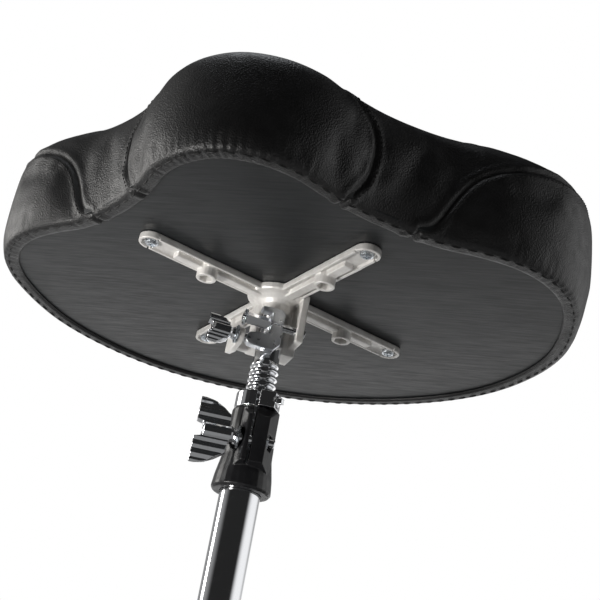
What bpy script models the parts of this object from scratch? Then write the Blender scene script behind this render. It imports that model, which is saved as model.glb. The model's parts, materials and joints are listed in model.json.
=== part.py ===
"""Drum throne: a saddle seat on a screw spindle, carried by a folding three-legged base.

Units are metres, written as millimetres times MM. +Z is up, the seat's nose points to -Y.
Heights on the stand are measured from the floor. Heights on the seat and on the clamps are
measured from the underside of the seat board, downwards being negative.
"""
import math

import bmesh
import bpy
from mathutils import Matrix, Vector

MM = 0.001

# Fits
GAP = 0.3 * MM                  # between pieces that touch
SLIDE_FIT = 0.4 * MM            # round a piece that slides or turns in another
SIDE_PLAY = 0.5 * MM            # beside a leg or strut in its lugs

# Overall
SEAT_HEIGHT = 445 * MM          # floor to the underside of the seat board
FOOT_CIRCLE = 265 * MM          # stand axis to the middle of a foot

# Facets round a turned piece
FINE = 28                       # collars, tube and spindle
ROUND = 16                      # bosses, washers and wing hubs
SMALL = 12                      # screws, pins and their holes
TIP_STEP = 20                   # degrees between the points of a rounded tip

# Seat board: the part that shows inside the hem. The hem covers a further HEM_WIDTH all round
BOARD_WIDTH = 466 * MM
BOARD_FRONT = 199 * MM          # stand axis to the tip of the nose
BOARD_BACK = 221 * MM           # stand axis to the rear edge
BOARD_THICKNESS = 12 * MM
OUTLINE_STEPS = 48
# Right half of the board, nose to rear: shares of the half width and of the front or back reach
OUTLINE_SHAPE = [
    (0.0, -1.0), (0.17, -0.925), (0.34, -0.7), (0.56, -0.51), (0.80, -0.395),
    (0.95, -0.215), (1.0, 0.05), (0.94, 0.40), (0.72, 0.725), (0.39, 0.925), (0.0, 1.0),
]

# Cushion
COVER_THICKNESS = 1.8 * MM
HEM_WIDTH = 13 * MM             # how far the cover wraps under the board
HEM_DROP = 2.4 * MM             # how far the folded hem hangs below the board
SIDE_HEIGHT = 95 * MM
SIDE_BULGE = 4 * MM             # widest point of the cushion outside the board
CROWN_HEIGHT = 15 * MM          # middle of the cushion above the top of its side
REAR_RISE = 0.17                # share by which the rear of the cushion stands higher

# Seat bracket
SCREW_HALF_X = 85.5 * MM        # half the spacing of the bracket's screws across the seat
SCREW_HALF_Y = 87 * MM          # and along it
ARM_WIDTH = 21 * MM
ARM_TIP_RADIUS = 10.5 * MM
ARM_THICKNESS = 3.2 * MM
ARM_RIM_HEIGHT = 5.6 * MM
ARM_RIM_WIDTH = 2.4 * MM
ARM_RIB_WIDTH = 8 * MM
ARM_RIB_HEIGHT = 7.6 * MM
ARM_RIB_STOP = 22 * MM          # how far short of the screw the middle rib stops
BOSS_DISTANCE = 69.5 * MM       # stand axis to a hex boss
BOSS_RADIUS = 8.4 * MM
BOSS_HEIGHT = 14.5 * MM
BOSS_HEX_RADIUS = 6 * MM
BOSS_HEX_DEPTH = 10 * MM
ARM_STEP = 0.2 * MM             # how far the arms lie below the web's top
WEB_RADIUS = 26.3 * MM          # disc that joins the roots of the arms
HUB_RADIUS = 13 * MM
HUB_HEIGHT = 19.7 * MM
HOUSING_BOTTOM = -51 * MM
HOUSING_REAR = 21 * MM
HOUSING_WALL_TURN = 15.5 * MM   # inner face of the right-hand wall
HOUSING_WALL = 6.5 * MM
HOUSING_FRONT = 21 * MM         # front edge of the right-hand wall
LEDGE_TOP = -43 * MM
LEDGE_BOTTOM = -60 * MM
LEDGE_THICKNESS = 4.7 * MM
BOLT_EYE_RADIUS = 6.6 * MM      # round front end of the lug, about the seat wing bolt
CLAMP_TURN = 30.0               # degrees about Z, seat to seat clamp

# Seat screws and tee nuts
SCREW_HEAD_RADIUS = 5.8 * MM
SCREW_HEAD_HEIGHT = 3.2 * MM
SCREW_SHANK_RADIUS = 2.9 * MM
SCREW_HOLE_PLAY = 0.4 * MM
TEE_BARREL_RADIUS = 4.3 * MM
TEE_FLANGE_RADIUS = 9 * MM
TEE_FLANGE_THICKNESS = 1.4 * MM
SCREW_CROSS_WIDTH = 1.3 * MM
SCREW_CROSS_DEPTH = 1.7 * MM

# Seat clamp
JAW_BACK_PLAY = 0.5 * MM        # jaw to spindle
JAW_DEPTH = 8 * MM
JAW_TOP = -21 * MM
JAW_BOTTOM = -58 * MM
JAW_RIGHT = 4 * MM
JAW_LIMB_WIDTH = 10.5 * MM
JAW_LEFT = -25 * MM
JAW_LOBE_HEIGHT = 12 * MM
JAW_HOOK = 9 * MM               # reach of the hook at its top
JAW_HOOK_HEIGHT = 5 * MM
JAW_TRAVEL = 3 * MM             # sideways opening of the jaw
JAW_EDGE = 1.2 * MM             # rounding of its edges
JAW_LOBE_RADIUS = 5 * MM
GUIDE_PIN_Z = -35 * MM
GUIDE_PIN_RADIUS = 5.2 * MM
GUIDE_PIN_NECK = 3.5 * MM
GUIDE_PIN_LEFT = -27 * MM
PIN_CLIP_RADIUS = 6.8 * MM
PIN_CLIP_THICKNESS = 1.6 * MM
SEAT_BOLT_Z = -52 * MM
SEAT_BOLT_RADIUS = 3 * MM
SEAT_BOLT_REACH = 22 * MM       # bolt tip past the face its washer bears on

# Spindle
SPINDLE_THREAD_RADIUS = 12 * MM         # the nut, collar, head and tube follow it
SPINDLE_SHANK_RADIUS = SPINDLE_THREAD_RADIUS - 1.25 * MM
SPINDLE_TOP = -20 * MM
SPINDLE_THREAD_TOP = -63.5 * MM
SPINDLE_THREAD_LENGTH = 180 * MM
SPINDLE_SLOT_WIDTH = 5.5 * MM
SPINDLE_SLOT_DEPTH = 1.4 * MM
SPINDLE_SLOT_TURN = -72.0       # degrees about Z, the way the slot faces

# Height lock collar
LOCK_TOP = -92 * MM
LOCK_HEIGHT = 14 * MM
LOCK_RADIUS = SPINDLE_THREAD_RADIUS + 6 * MM
LOCK_FLAT = SPINDLE_THREAD_RADIUS + 2.5 * MM        # front flat from the axis
LOCK_EAR_REACH = SPINDLE_THREAD_RADIUS + 8.5 * MM
KEY_BOLT_X = SPINDLE_THREAD_RADIUS + 0.5 * MM       # key bolt's seat, right of the axis
KEY_BOLT_FRONT = SPINDLE_THREAD_RADIUS + 3.9 * MM   # and in front of it
KEY_BOLT_TURN = -33.0           # degrees about Z, the way the key bolt's head faces
KEY_BOLT_SHANK_LENGTH = 7 * MM
KEY_BOLT_SQUARE = 4.4 * MM
KEY_BOLT_SQUARE_LENGTH = 3.5 * MM
KEY_BOLT_HEAD_HEIGHT = 3 * MM
KEY_BOLT_HEAD_RADIUS = 4.6 * MM
KEY_BOLT_SHANK_RADIUS = 2.4 * MM

# Clamp head
HEAD_TURN = 19.0                # degrees about Z, stand to clamp head
HEAD_HEIGHT = 66 * MM
HEAD_TOP_RADIUS = SPINDLE_THREAD_RADIUS + 6.7 * MM
HEAD_BOTTOM_RADIUS = SPINDLE_THREAD_RADIUS + 11.5 * MM
EAR_FRONT = SPINDLE_THREAD_RADIUS + 15 * MM
EAR_RIGHT = SPINDLE_THREAD_RADIUS + 6.2 * MM
EAR_LEFT = -10.2 * MM
EAR_LENGTH = 47 * MM
EAR_TOP_SLOPE = 10 * MM
SPLIT_WIDTH = 2.6 * MM
SPLIT_MIDDLE = -1.6 * MM
HEAD_BOLT_DROP = 28.5 * MM      # head bolt below the top of the head
HEAD_BOLT_FRONT = SPINDLE_THREAD_RADIUS + 8 * MM
HEAD_BOLT_RADIUS = 3.6 * MM
HEAD_NUT_RADIUS = 6.5 * MM
HEAD_NUT_THICKNESS = 5.5 * MM
NUT_RADIUS = SPINDLE_THREAD_RADIUS + 3 * MM
NUT_HEIGHT = 12 * MM
TUBE_INSERTION = 21 * MM        # length of tube inside the head

# Wing bolts: span across the wings, length along the bolt, hub radius, start of the wings and
# degrees about the bolt at which it stands
HEAD_WING = {"span": 54 * MM, "length": 34 * MM, "hub": 7 * MM, "wing_start": 6 * MM,
             "turn": 86.0}
SEAT_WING = {"span": 28 * MM, "length": 24 * MM, "hub": 5.5 * MM, "wing_start": 5 * MM,
             "turn": 74.0}
COLLAR_WING = {"span": 40 * MM, "length": 26 * MM, "hub": 6 * MM, "wing_start": 6 * MM,
               "turn": 90.0}
WING_THICKNESS = 6.5 * MM
WING_RIDGE = 0.8 * MM
WING_RIDGES = 8                 # across both wings
WASHER_THICKNESS = 1.6 * MM
WASHER_RIM = 2 * MM

# Stand tube
TUBE_WALL = 2 * MM
TUBE_RADIUS = SPINDLE_THREAD_RADIUS + TUBE_WALL + 1.9 * MM     # the spindle runs down inside it
TUBE_BOTTOM = 44 * MM
PLUG_FLANGE = 3 * MM
PLUG_DEPTH = 14 * MM

# Tripod
LEG_PIVOT_RADIUS = TUBE_RADIUS + 26.1 * MM
LEG_PIVOT_HEIGHT = 150 * MM
LEG_END_HEIGHT = 20 * MM
STRUT_PIVOT_RADIUS = TUBE_RADIUS + 11.1 * MM
STRUT_PIVOT_HEIGHT = 64 * MM
STRUT_JOIN = 90 * MM            # leg pivot to the strut's rivet, along the leg
LEG_NAMES = ["rear", "left", "right"]
FIRST_LEG_TURN = 90.0           # degrees about Z, the first leg; the others are evenly spaced
LEG_WIDTH = 14 * MM
LEG_DEPTH = 16 * MM
LEG_WALL = 2 * MM
LEG_EDGE = 2.5 * MM             # rounding of the leg tube's corners
STRUT_WIDTH = 13 * MM
STRUT_THICKNESS = 3 * MM
PIN_RADIUS = 3 * MM
PIN_HEAD_RADIUS = 5 * MM
PIN_HEAD_THICKNESS = 1.8 * MM
COLLAR_WALL = 5 * MM
SLIDER_HEIGHT = 22 * MM
SLIDER_LUG = 4 * MM
SLIDER_LINER = 1.5 * MM
SLIDER_BOLT_RADIUS = 3 * MM
SLIDER_BOSS_RADIUS = 8 * MM
SLIDER_BOSS_LENGTH = 6 * MM     # how far the wing bolt's boss stands out of the collar
BASE_COLLAR_HEIGHT = 24 * MM
SET_SCREW_RADIUS = 3 * MM
SET_SCREW_LENGTH = 7 * MM
FOOT_RADIUS = 15 * MM
FOOT_HEIGHT = 14 * MM
FOOT_SLEEVE = 42 * MM
FOOT_SLEEVE_PAST = 12 * MM      # how far the sleeve runs past the end of the leg
FOOT_WALL = 3 * MM
FOOT_EDGE = 3 * MM

FINISHES = {
    "leather": ((0.018, 0.018, 0.02), 0.42, 0.0),
    "foam": ((0.75, 0.72, 0.6), 0.9, 0.0),
    "board": ((0.075, 0.08, 0.088), 0.55, 0.0),
    "cast_aluminium": ((0.72, 0.7, 0.67), 0.5, 0.9),
    "satin_steel": ((0.75, 0.76, 0.78), 0.35, 1.0),
    "chrome": ((0.86, 0.87, 0.89), 0.08, 1.0),
    "zinc": ((0.66, 0.7, 0.76), 0.3, 1.0),
    "black_paint": ((0.02, 0.02, 0.023), 0.38, 0.0),
    "black_nylon": ((0.025, 0.025, 0.025), 0.6, 0.0),
    "rubber": ((0.015, 0.015, 0.015), 0.85, 0.0),
}


# ---------------------------------------------------------------- scene and mesh helpers

def clear_scene():
    for old in list(bpy.data.objects):
        bpy.data.objects.remove(old, do_unlink=True)


def empty(name, parent=None, location=(0, 0, 0), turn=0.0):
    """A frame that pieces are placed in, turned about Z by so many degrees."""
    frame = bpy.data.objects.new(name, None)
    bpy.context.collection.objects.link(frame)
    frame.parent = parent
    frame.location = location
    frame.rotation_euler = (0, 0, math.radians(turn))
    return frame


def material(name, finish):
    colour, roughness, metallic = FINISHES[finish]
    mat = bpy.data.materials.new(name)
    mat.use_nodes = True
    shader = mat.node_tree.nodes["Principled BSDF"]
    shader.inputs["Base Color"].default_value = (*colour, 1.0)
    shader.inputs["Roughness"].default_value = roughness
    shader.inputs["Metallic"].default_value = metallic
    mat.diffuse_color = (*colour, 1.0)
    return mat


def new_object(name, shape, parent):
    mesh = bpy.data.meshes.new(name)
    bmesh.ops.recalc_face_normals(shape, faces=shape.faces)
    if shape.calc_volume(signed=True) < 0:
        bmesh.ops.reverse_faces(shape, faces=shape.faces)
    shape.to_mesh(mesh)
    shape.free()
    mesh.shade_smooth()
    mesh.set_sharp_from_angle(angle=math.radians(32))
    thing = bpy.data.objects.new(name, mesh)
    bpy.context.collection.objects.link(thing)
    thing.parent = parent
    return thing


def piece(name, finish, shape, parent=None, location=(0, 0, 0), rotation=(0, 0, 0)):
    """One named sub-part, placed by its location and its rotation in degrees."""
    thing = new_object(name, shape, parent)
    thing.data.materials.append(material(name, finish))
    thing.location = location
    thing.rotation_euler = [math.radians(angle) for angle in rotation]
    return thing


def guide_object(name, shape, parent):
    """A shape that only steers a Boolean."""
    guide = new_object(name, shape, parent)
    guide.hide_render = True
    guide.display_type = "WIRE"
    return guide


def combine(thing, operation, guide):
    step = thing.modifiers.new(operation.title(), "BOOLEAN")
    step.operation = operation
    step.solver = "EXACT"
    step.object = guide


def shape_with(thing, operation, *tools):
    """Unite, cut or intersect a piece with shapes drawn in the piece's own frame."""
    for tool in tools:
        combine(thing, operation, guide_object(f"{thing.name}_{operation.lower()}", tool, thing))
    return thing


def round_edges(thing, width):
    """Bevel the sharp edges of a piece as it stands, before any cuts that follow."""
    bevel = thing.modifiers.new("Edges", "BEVEL")
    bevel.width = width
    bevel.segments = 2
    bevel.limit_method = "ANGLE"
    bevel.angle_limit = math.radians(40)


def unite(thing, *tools):
    return shape_with(thing, "UNION", *tools)


def cut(thing, *tools):
    return shape_with(thing, "DIFFERENCE", *tools)


def intersect(thing, *tools):
    return shape_with(thing, "INTERSECT", *tools)


def extruded(points, run):
    """A flat closed outline of 3-D points, extruded along the vector run."""
    shape = bmesh.new()
    base = shape.faces.new([shape.verts.new(point) for point in points])
    grown_part = bmesh.ops.extrude_face_region(shape, geom=[base])
    far = [v for v in grown_part["geom"] if isinstance(v, bmesh.types.BMVert)]
    bmesh.ops.translate(shape, verts=far, vec=run)
    return shape


def prism(outline, low, high):
    """A closed outline in XY, extruded from one height to another."""
    return extruded([(x, y, low) for x, y in outline], (0, 0, high - low))


def side_prism(outline, left, right):
    """A closed outline in YZ, extruded from one X to another."""
    return extruded([(left, y, z) for y, z in outline], (right - left, 0, 0))


def box(low, high):
    x0, y0, z0 = low
    x1, y1, z1 = high
    return prism([(x0, y0), (x1, y0), (x1, y1), (x0, y1)], z0, z1)


def polygon(radius, sides, turn=0.0, centre=(0, 0)):
    step = 2 * math.pi / sides
    start = math.radians(turn)
    return [(centre[0] + radius * math.cos(start + i * step),
             centre[1] + radius * math.sin(start + i * step)) for i in range(sides)]


def cylinder(radius, low, high, sides=FINE, centre=(0, 0)):
    return prism(polygon(radius, sides, centre=centre), low, high)


def turned(profile, sides=FINE):
    """A profile of (radius, height) points spun about Z. It closes on itself or on the axis."""
    shape = bmesh.new()
    verts = [shape.verts.new((radius, 0, height)) for radius, height in profile]
    edges = [shape.edges.new(pair) for pair in zip(verts, verts[1:])]
    if min(radius for radius, _ in profile) > 0:
        edges.append(shape.edges.new((verts[-1], verts[0])))
    bmesh.ops.spin(shape, geom=verts + edges, cent=(0, 0, 0), axis=(0, 0, 1),
                   angle=2 * math.pi, steps=sides, use_merge=True)
    bmesh.ops.remove_doubles(shape, verts=shape.verts, dist=1e-7)
    return shape


def ring(inner, outer, low, high, sides=FINE, chamfer=0.0):
    return turned([(inner, low), (outer - chamfer, low), (outer, low + chamfer),
                   (outer, high - chamfer), (outer - chamfer, high), (inner, high)]
                  if chamfer else
                  [(inner, low), (outer, low), (outer, high), (inner, high)], sides)


def moved(shape, location=(0, 0, 0), rotation=(0, 0, 0)):
    """The shape turned by degrees about X, Y and Z in turn, then moved."""
    for axis, angle in zip("XYZ", rotation):
        if angle:
            shape.transform(Matrix.Rotation(math.radians(angle), 4, axis))
    shape.transform(Matrix.Translation(Vector(location)))
    return shape


def along_x(shape, location=(0, 0, 0)):
    """A shape drawn along +Z, laid along +X."""
    return moved(shape, location, (0, 90, 0))


# ---------------------------------------------------------------- seat board and cushion

def board_outline():
    """Smooth closed outline: through the shape points and their mirror images, plus the hem."""
    right = []
    for across, along in OUTLINE_SHAPE:
        reach = BOARD_FRONT if along < 0 else BOARD_BACK
        right.append(Vector((across * BOARD_WIDTH / 2, along * reach)))
    left = [Vector((-point.x, point.y)) for point in reversed(right[1:-1])]
    knots = right + left
    count = len(knots)
    fine = []
    for i in range(count):
        before, here, there, after = (knots[(i + k) % count] for k in (-1, 0, 1, 2))
        for j in range(16):
            t = j / 16
            fine.append(0.5 * (2 * here + (there - before) * t
                               + (2 * before - 5 * here + 4 * there - after) * t ** 2
                               + (3 * here - before - 3 * there + after) * t ** 3))
    return even_points(grown(fine, HEM_WIDTH), OUTLINE_STEPS)


def even_points(path, count):
    """The closed path again, with points an equal distance apart."""
    lengths = [0.0]
    for a, b in zip(path, path[1:] + path[:1]):
        lengths.append(lengths[-1] + (b - a).length)
    points = []
    index = 0
    for k in range(count):
        target = lengths[-1] * k / count
        while lengths[index + 1] <= target:
            index += 1
        share = (target - lengths[index]) / (lengths[index + 1] - lengths[index])
        points.append(path[index].lerp(path[(index + 1) % len(path)], share))
    return points


def grown(outline, distance):
    """The outline moved outwards along its own normals."""
    count = len(outline)
    result = []
    for i, point in enumerate(outline):
        run = outline[(i + 1) % count] - outline[i - 1]
        result.append(point + Vector((run.y, -run.x)).normalized() * distance)
    return result


def shrunk(outline, share):
    middle = Vector((0, (BOARD_BACK - BOARD_FRONT) / 2))
    return [middle + (point - middle) * share for point in outline]


def cushion_levels(inset):
    """Rings of the cushion from its lower edge up: outward shift, share of size, height."""
    side = SIDE_HEIGHT - inset
    bulge = SIDE_BULGE - inset
    crown = CROWN_HEIGHT
    return [
        (bulge * 0.65, 1.0, side * 0.1),
        (bulge * 0.95, 1.0, side * 0.35),
        (bulge, 1.0, side * 0.6),
        (bulge * 0.85, 1.0, side * 0.82),
        (bulge * 0.3, 1.0, side * 0.95),
        (-inset, 0.97, side + crown * 0.12),
        (-inset, 0.85, side + crown * 0.45),
        (-inset, 0.6, side + crown * 0.8),
        (-inset, 0.3, side + crown * 0.97),
    ]


def raised(height, y):
    """The cushion stands higher towards its rear."""
    return height * (1 + REAR_RISE * y / BOARD_BACK) if height > 0 else height


def add_level(shape, outline, shift, share, height):
    points = shrunk(grown(outline, shift), share)
    return [shape.verts.new((p.x, p.y, raised(height, p.y))) for p in points]


def bridge(shape, lower, upper):
    count = len(lower)
    for i in range(count):
        j = (i + 1) % count
        shape.faces.new((lower[i], lower[j], upper[j], upper[i]))


def close_with_fan(shape, level, height):
    middle_y = (BOARD_BACK - BOARD_FRONT) / 2
    tip = shape.verts.new((0, middle_y, raised(height, middle_y)))
    for a, b in zip(level, level[1:] + level[:1]):
        shape.faces.new((a, b, tip))


def seat_cover(parent, outline):
    """Leatherette skin: outer surface, turned-under hem and inner surface as one shell."""
    shape = bmesh.new()
    skin = COVER_THICKNESS
    outer = [add_level(shape, outline, *level) for level in cushion_levels(0.0)]
    inner = [add_level(shape, outline, *level) for level in cushion_levels(skin)]
    hem_low = add_level(shape, outline, -HEM_WIDTH, 1.0, -HEM_DROP)
    hem_corner = add_level(shape, outline, SIDE_BULGE * 0.3, 1.0, -HEM_DROP)
    hem_high = add_level(shape, outline, -HEM_WIDTH, 1.0, -GAP)
    hem_inside = add_level(shape, outline, GAP * 2, 1.0, -GAP)
    rings = list(reversed(outer)) + [hem_corner, hem_low, hem_high, hem_inside] + inner
    for first, second in zip(rings, rings[1:]):
        bridge(shape, first, second)
    close_with_fan(shape, outer[-1], SIDE_HEIGHT + CROWN_HEIGHT)
    close_with_fan(shape, inner[-1], SIDE_HEIGHT + CROWN_HEIGHT - skin)
    return piece("seat_cover", "leather", shape, parent)


def seat_foam(parent, outline):
    shape = bmesh.new()
    inset = COVER_THICKNESS + GAP
    base = add_level(shape, outline, GAP, 1.0, 0.0)
    for vert in base:
        vert.co.z = BOARD_THICKNESS + GAP
    levels = [base] + [add_level(shape, outline, *level) for level in cushion_levels(inset)[1:]]
    for lower, upper in zip(levels, levels[1:]):
        bridge(shape, lower, upper)
    close_with_fan(shape, levels[-1], SIDE_HEIGHT + CROWN_HEIGHT - inset)
    shape.faces.new(base)
    return piece("seat_foam", "foam", shape, parent)


def screw_places():
    return {
        "front_left": (-SCREW_HALF_X, -SCREW_HALF_Y),
        "front_right": (SCREW_HALF_X, -SCREW_HALF_Y),
        "rear_left": (-SCREW_HALF_X, SCREW_HALF_Y),
        "rear_right": (SCREW_HALF_X, SCREW_HALF_Y),
    }


def seat_board(parent, outline):
    board = piece("seat_board", "board", prism(outline, 0, BOARD_THICKNESS), parent)
    barrel = TEE_BARREL_RADIUS + GAP
    sink = BOARD_THICKNESS - TEE_FLANGE_THICKNESS - GAP
    for x, y in screw_places().values():
        pocket = turned([(0, -MM), (barrel, -MM), (barrel, sink), (TEE_FLANGE_RADIUS + GAP, sink),
                         (TEE_FLANGE_RADIUS + GAP, BOARD_THICKNESS + MM),
                         (0, BOARD_THICKNESS + MM)], SMALL)
        cut(board, moved(pocket, (x, y, 0)))


def tee_nuts(parent):
    bore = SCREW_SHANK_RADIUS + GAP
    flange = BOARD_THICKNESS - TEE_FLANGE_THICKNESS
    for place, (x, y) in screw_places().items():
        shape = turned([(bore, GAP), (TEE_BARREL_RADIUS, GAP), (TEE_BARREL_RADIUS, flange),
                        (TEE_FLANGE_RADIUS, flange), (TEE_FLANGE_RADIUS, BOARD_THICKNESS),
                        (bore, BOARD_THICKNESS)], SMALL)
        piece(f"tee_nut_{place}", "zinc", shape, parent, (x, y, 0))


def bracket_screws(parent):
    """Pan heads under the bracket's tips, shanks up into the tee nuts."""
    under = -GAP - ARM_STEP - ARM_THICKNESS - GAP
    low = under - SCREW_HEAD_HEIGHT
    for place, (x, y) in screw_places().items():
        shape = turned([(0, low), (SCREW_HEAD_RADIUS * 0.6, low),
                        (SCREW_HEAD_RADIUS * 0.9, low + SCREW_HEAD_HEIGHT * 0.3),
                        (SCREW_HEAD_RADIUS, under), (SCREW_SHANK_RADIUS, under),
                        (SCREW_SHANK_RADIUS, BOARD_THICKNESS - MM),
                        (0, BOARD_THICKNESS - MM)], SMALL)
        screw = piece(f"bracket_screw_{place}", "zinc", shape, parent, (x, y, 0))
        half = SCREW_CROSS_WIDTH / 2
        arm = SCREW_HEAD_RADIUS * 0.55
        cut(screw,
            box((-arm, -half, low - MM), (arm, half, low + SCREW_CROSS_DEPTH)),
            box((-half, -arm, low - MM), (half, arm, low + SCREW_CROSS_DEPTH)))


# ---------------------------------------------------------------- seat bracket

def rounded_bar(start, end, half_width, tip_radius, low, high):
    """A bar along +X with a round far end."""
    arc = [(end + tip_radius * math.cos(a), tip_radius * math.sin(a))
           for a in (math.radians(d) for d in range(-80, 81, TIP_STEP))]
    return prism([(start, -half_width), *arc, (start, half_width)], low, high)


def bracket_arm(reach):
    """Shapes of one arm, drawn along +X: flange, its rim, the middle rib and the boss."""
    top = -GAP - ARM_STEP
    half = ARM_WIDTH / 2
    low = top - ARM_RIM_HEIGHT
    flange = rounded_bar(0, reach, half, ARM_TIP_RADIUS, top - ARM_THICKNESS, top)
    side = ARM_RIM_WIDTH
    inset = 0.2 * MM
    rims = [box((HUB_RADIUS * 0.5, edge - side / 2, low),
                (reach - ARM_TIP_RADIUS * 0.2, edge + side / 2, top - 1.5 * MM))
            for edge in (half - inset - side / 2, inset + side / 2 - half)]
    rib = box((HUB_RADIUS * 0.5, -ARM_RIB_WIDTH / 2, top - ARM_RIB_HEIGHT),
              (reach - ARM_RIB_STOP, ARM_RIB_WIDTH / 2, top - 1.2 * MM))
    boss = cylinder(BOSS_RADIUS, -BOSS_HEIGHT, top - 1.8 * MM, ROUND, (BOSS_DISTANCE, 0))
    return [flange, *rims, rib, boss]


def clamp_outer_left():
    return JAW_LEFT - JAW_TRAVEL / 2


def seat_bracket(seat):
    """Four arms, hub and the open housing that the spindle stands in, as one casting."""
    reach = math.hypot(SCREW_HALF_X, SCREW_HALF_Y)
    angle = math.degrees(math.atan2(SCREW_HALF_Y, SCREW_HALF_X))
    turns = [angle, 180 - angle, 180 + angle, -angle]
    top = -GAP
    flange = -ARM_RIM_HEIGHT - 0.6 * MM
    hub = turned([(0, -HUB_HEIGHT), (HUB_RADIUS - 1 * MM, -HUB_HEIGHT),
                  (HUB_RADIUS, -HUB_HEIGHT + 1 * MM), (HUB_RADIUS + 0.5 * MM, flange * 2),
                  (HUB_RADIUS + 3 * MM, flange * 1.5), (WEB_RADIUS - 6 * MM, flange * 1.1),
                  (WEB_RADIUS - 1 * MM, flange), (WEB_RADIUS, flange + 1.5 * MM),
                  (WEB_RADIUS, top), (0, top)], FINE)
    bracket = piece("seat_bracket", "cast_aluminium", hub, seat)
    for turn in turns:
        unite(bracket, *[moved(shape, rotation=(0, 0, turn)) for shape in bracket_arm(reach)])
    into_seat = (0, 0, CLAMP_TURN)
    wall = HOUSING_WALL_TURN + HOUSING_WALL
    bore = SPINDLE_SHANK_RADIUS + SLIDE_FIT
    rear = box((-14 * MM, -1 * MM, HOUSING_BOTTOM), (wall, HOUSING_REAR, -2 * MM))
    right = box((HOUSING_WALL_TURN, -HOUSING_FRONT, HOUSING_BOTTOM + 6 * MM),
                (wall - 0.3 * MM, 3 * MM, -2.4 * MM))
    lug_right = clamp_outer_left()
    eye = [(-pin_front() + BOLT_EYE_RADIUS * math.cos(a),
            SEAT_BOLT_Z + BOLT_EYE_RADIUS * math.sin(a))
           for a in (math.radians(d) for d in range(90, 271, 30))]
    lug_back = HOUSING_REAR - 0.6 * MM
    lug = side_prism([*eye, (0, LEDGE_BOTTOM), (lug_back, LEDGE_BOTTOM + 5 * MM),
                      (lug_back, LEDGE_TOP), (0, LEDGE_TOP)],
                     lug_right - LEDGE_THICKNESS, lug_right)
    link = box((lug_right - LEDGE_THICKNESS + 0.4 * MM, 13 * MM, HOUSING_BOTTOM + 0.5 * MM),
               (-10 * MM, HOUSING_REAR - 1.2 * MM, LEDGE_TOP + 1 * MM))
    unite(bracket, *[moved(shape, rotation=into_seat) for shape in (rear, right, lug, link)])
    socket = cylinder(bore, HOUSING_BOTTOM - 20 * MM, -HUB_HEIGHT, FINE)
    pin_hole = along_x(cylinder(GUIDE_PIN_NECK + GAP, 0, 30 * MM, SMALL),
                       (JAW_RIGHT, -pin_front(), GUIDE_PIN_Z))
    bolt_hole = along_x(cylinder(SEAT_BOLT_RADIUS + SLIDE_FIT, 0, 20 * MM, SMALL),
                        (lug_right - 12 * MM, -pin_front(), SEAT_BOLT_Z))
    cut(bracket, socket, *[moved(shape, rotation=into_seat) for shape in (pin_hole, bolt_hole)])
    for turn in turns:
        hexagon = prism(polygon(BOSS_HEX_RADIUS, 6, centre=(BOSS_DISTANCE, 0)),
                        -BOSS_HEIGHT - MM, -BOSS_HEIGHT + BOSS_HEX_DEPTH)
        cut(bracket, moved(hexagon, rotation=(0, 0, turn)))
    for x, y in screw_places().values():
        cut(bracket, cylinder(SCREW_SHANK_RADIUS + SCREW_HOLE_PLAY, -12 * MM, MM, SMALL, (x, y)))


# ---------------------------------------------------------------- seat clamp

def jaw_back():
    return SPINDLE_SHANK_RADIUS + SLIDE_FIT + JAW_BACK_PLAY


def pin_front():
    """Distance of the guide pin and of the seat wing bolt in front of the stand axis."""
    return jaw_back() + JAW_DEPTH / 2


def seat_clamp_jaw(clamp):
    """A J-shaped jaw in front of the spindle: upper hook, upright limb and lower lobe."""
    limb_left = JAW_RIGHT - JAW_LIMB_WIDTH
    lobe_top = JAW_BOTTOM + JAW_LOBE_HEIGHT
    lobe = JAW_LOBE_RADIUS
    round_lobe = [(JAW_LEFT + lobe * (1 - math.sin(a)), JAW_BOTTOM + lobe * (1 - math.cos(a)))
                  for a in (math.radians(d) for d in (0, 30, 60, 90))]
    outline = [(JAW_RIGHT - 5 * MM, JAW_BOTTOM), *round_lobe,
               (JAW_LEFT + 2 * MM, lobe_top - 2 * MM),
               (JAW_LEFT + 8 * MM, lobe_top), (limb_left - 2 * MM, lobe_top + 1 * MM),
               (limb_left, lobe_top + 5 * MM), (limb_left, JAW_TOP - JAW_HOOK_HEIGHT - MM),
               (limb_left - 1 * MM, JAW_TOP - JAW_HOOK_HEIGHT),
               (limb_left - JAW_HOOK, JAW_TOP - JAW_HOOK_HEIGHT),
               (limb_left - JAW_HOOK, JAW_TOP - 1 * MM), (limb_left + 1 * MM, JAW_TOP),
               (JAW_RIGHT - 3 * MM, JAW_TOP), (JAW_RIGHT, JAW_TOP - 3 * MM),
               (JAW_RIGHT, JAW_BOTTOM + 6 * MM)]
    flat = extruded([(x, -jaw_back(), z) for x, z in outline], (0, -JAW_DEPTH, 0))
    jaw = piece("seat_clamp_jaw", "satin_steel", flat, clamp)
    round_edges(jaw, JAW_EDGE)
    pin_hole = along_x(cylinder(GUIDE_PIN_NECK + SLIDE_FIT, 0, 20 * MM, SMALL),
                       (limb_left - 4 * MM, -pin_front(), GUIDE_PIN_Z))
    bolt_hole = along_x(cylinder(SEAT_BOLT_RADIUS + SLIDE_FIT, 0, 24 * MM, SMALL),
                        (JAW_LEFT - 4 * MM, -pin_front(), SEAT_BOLT_Z))
    cut(jaw, pin_hole, bolt_hole)


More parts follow.
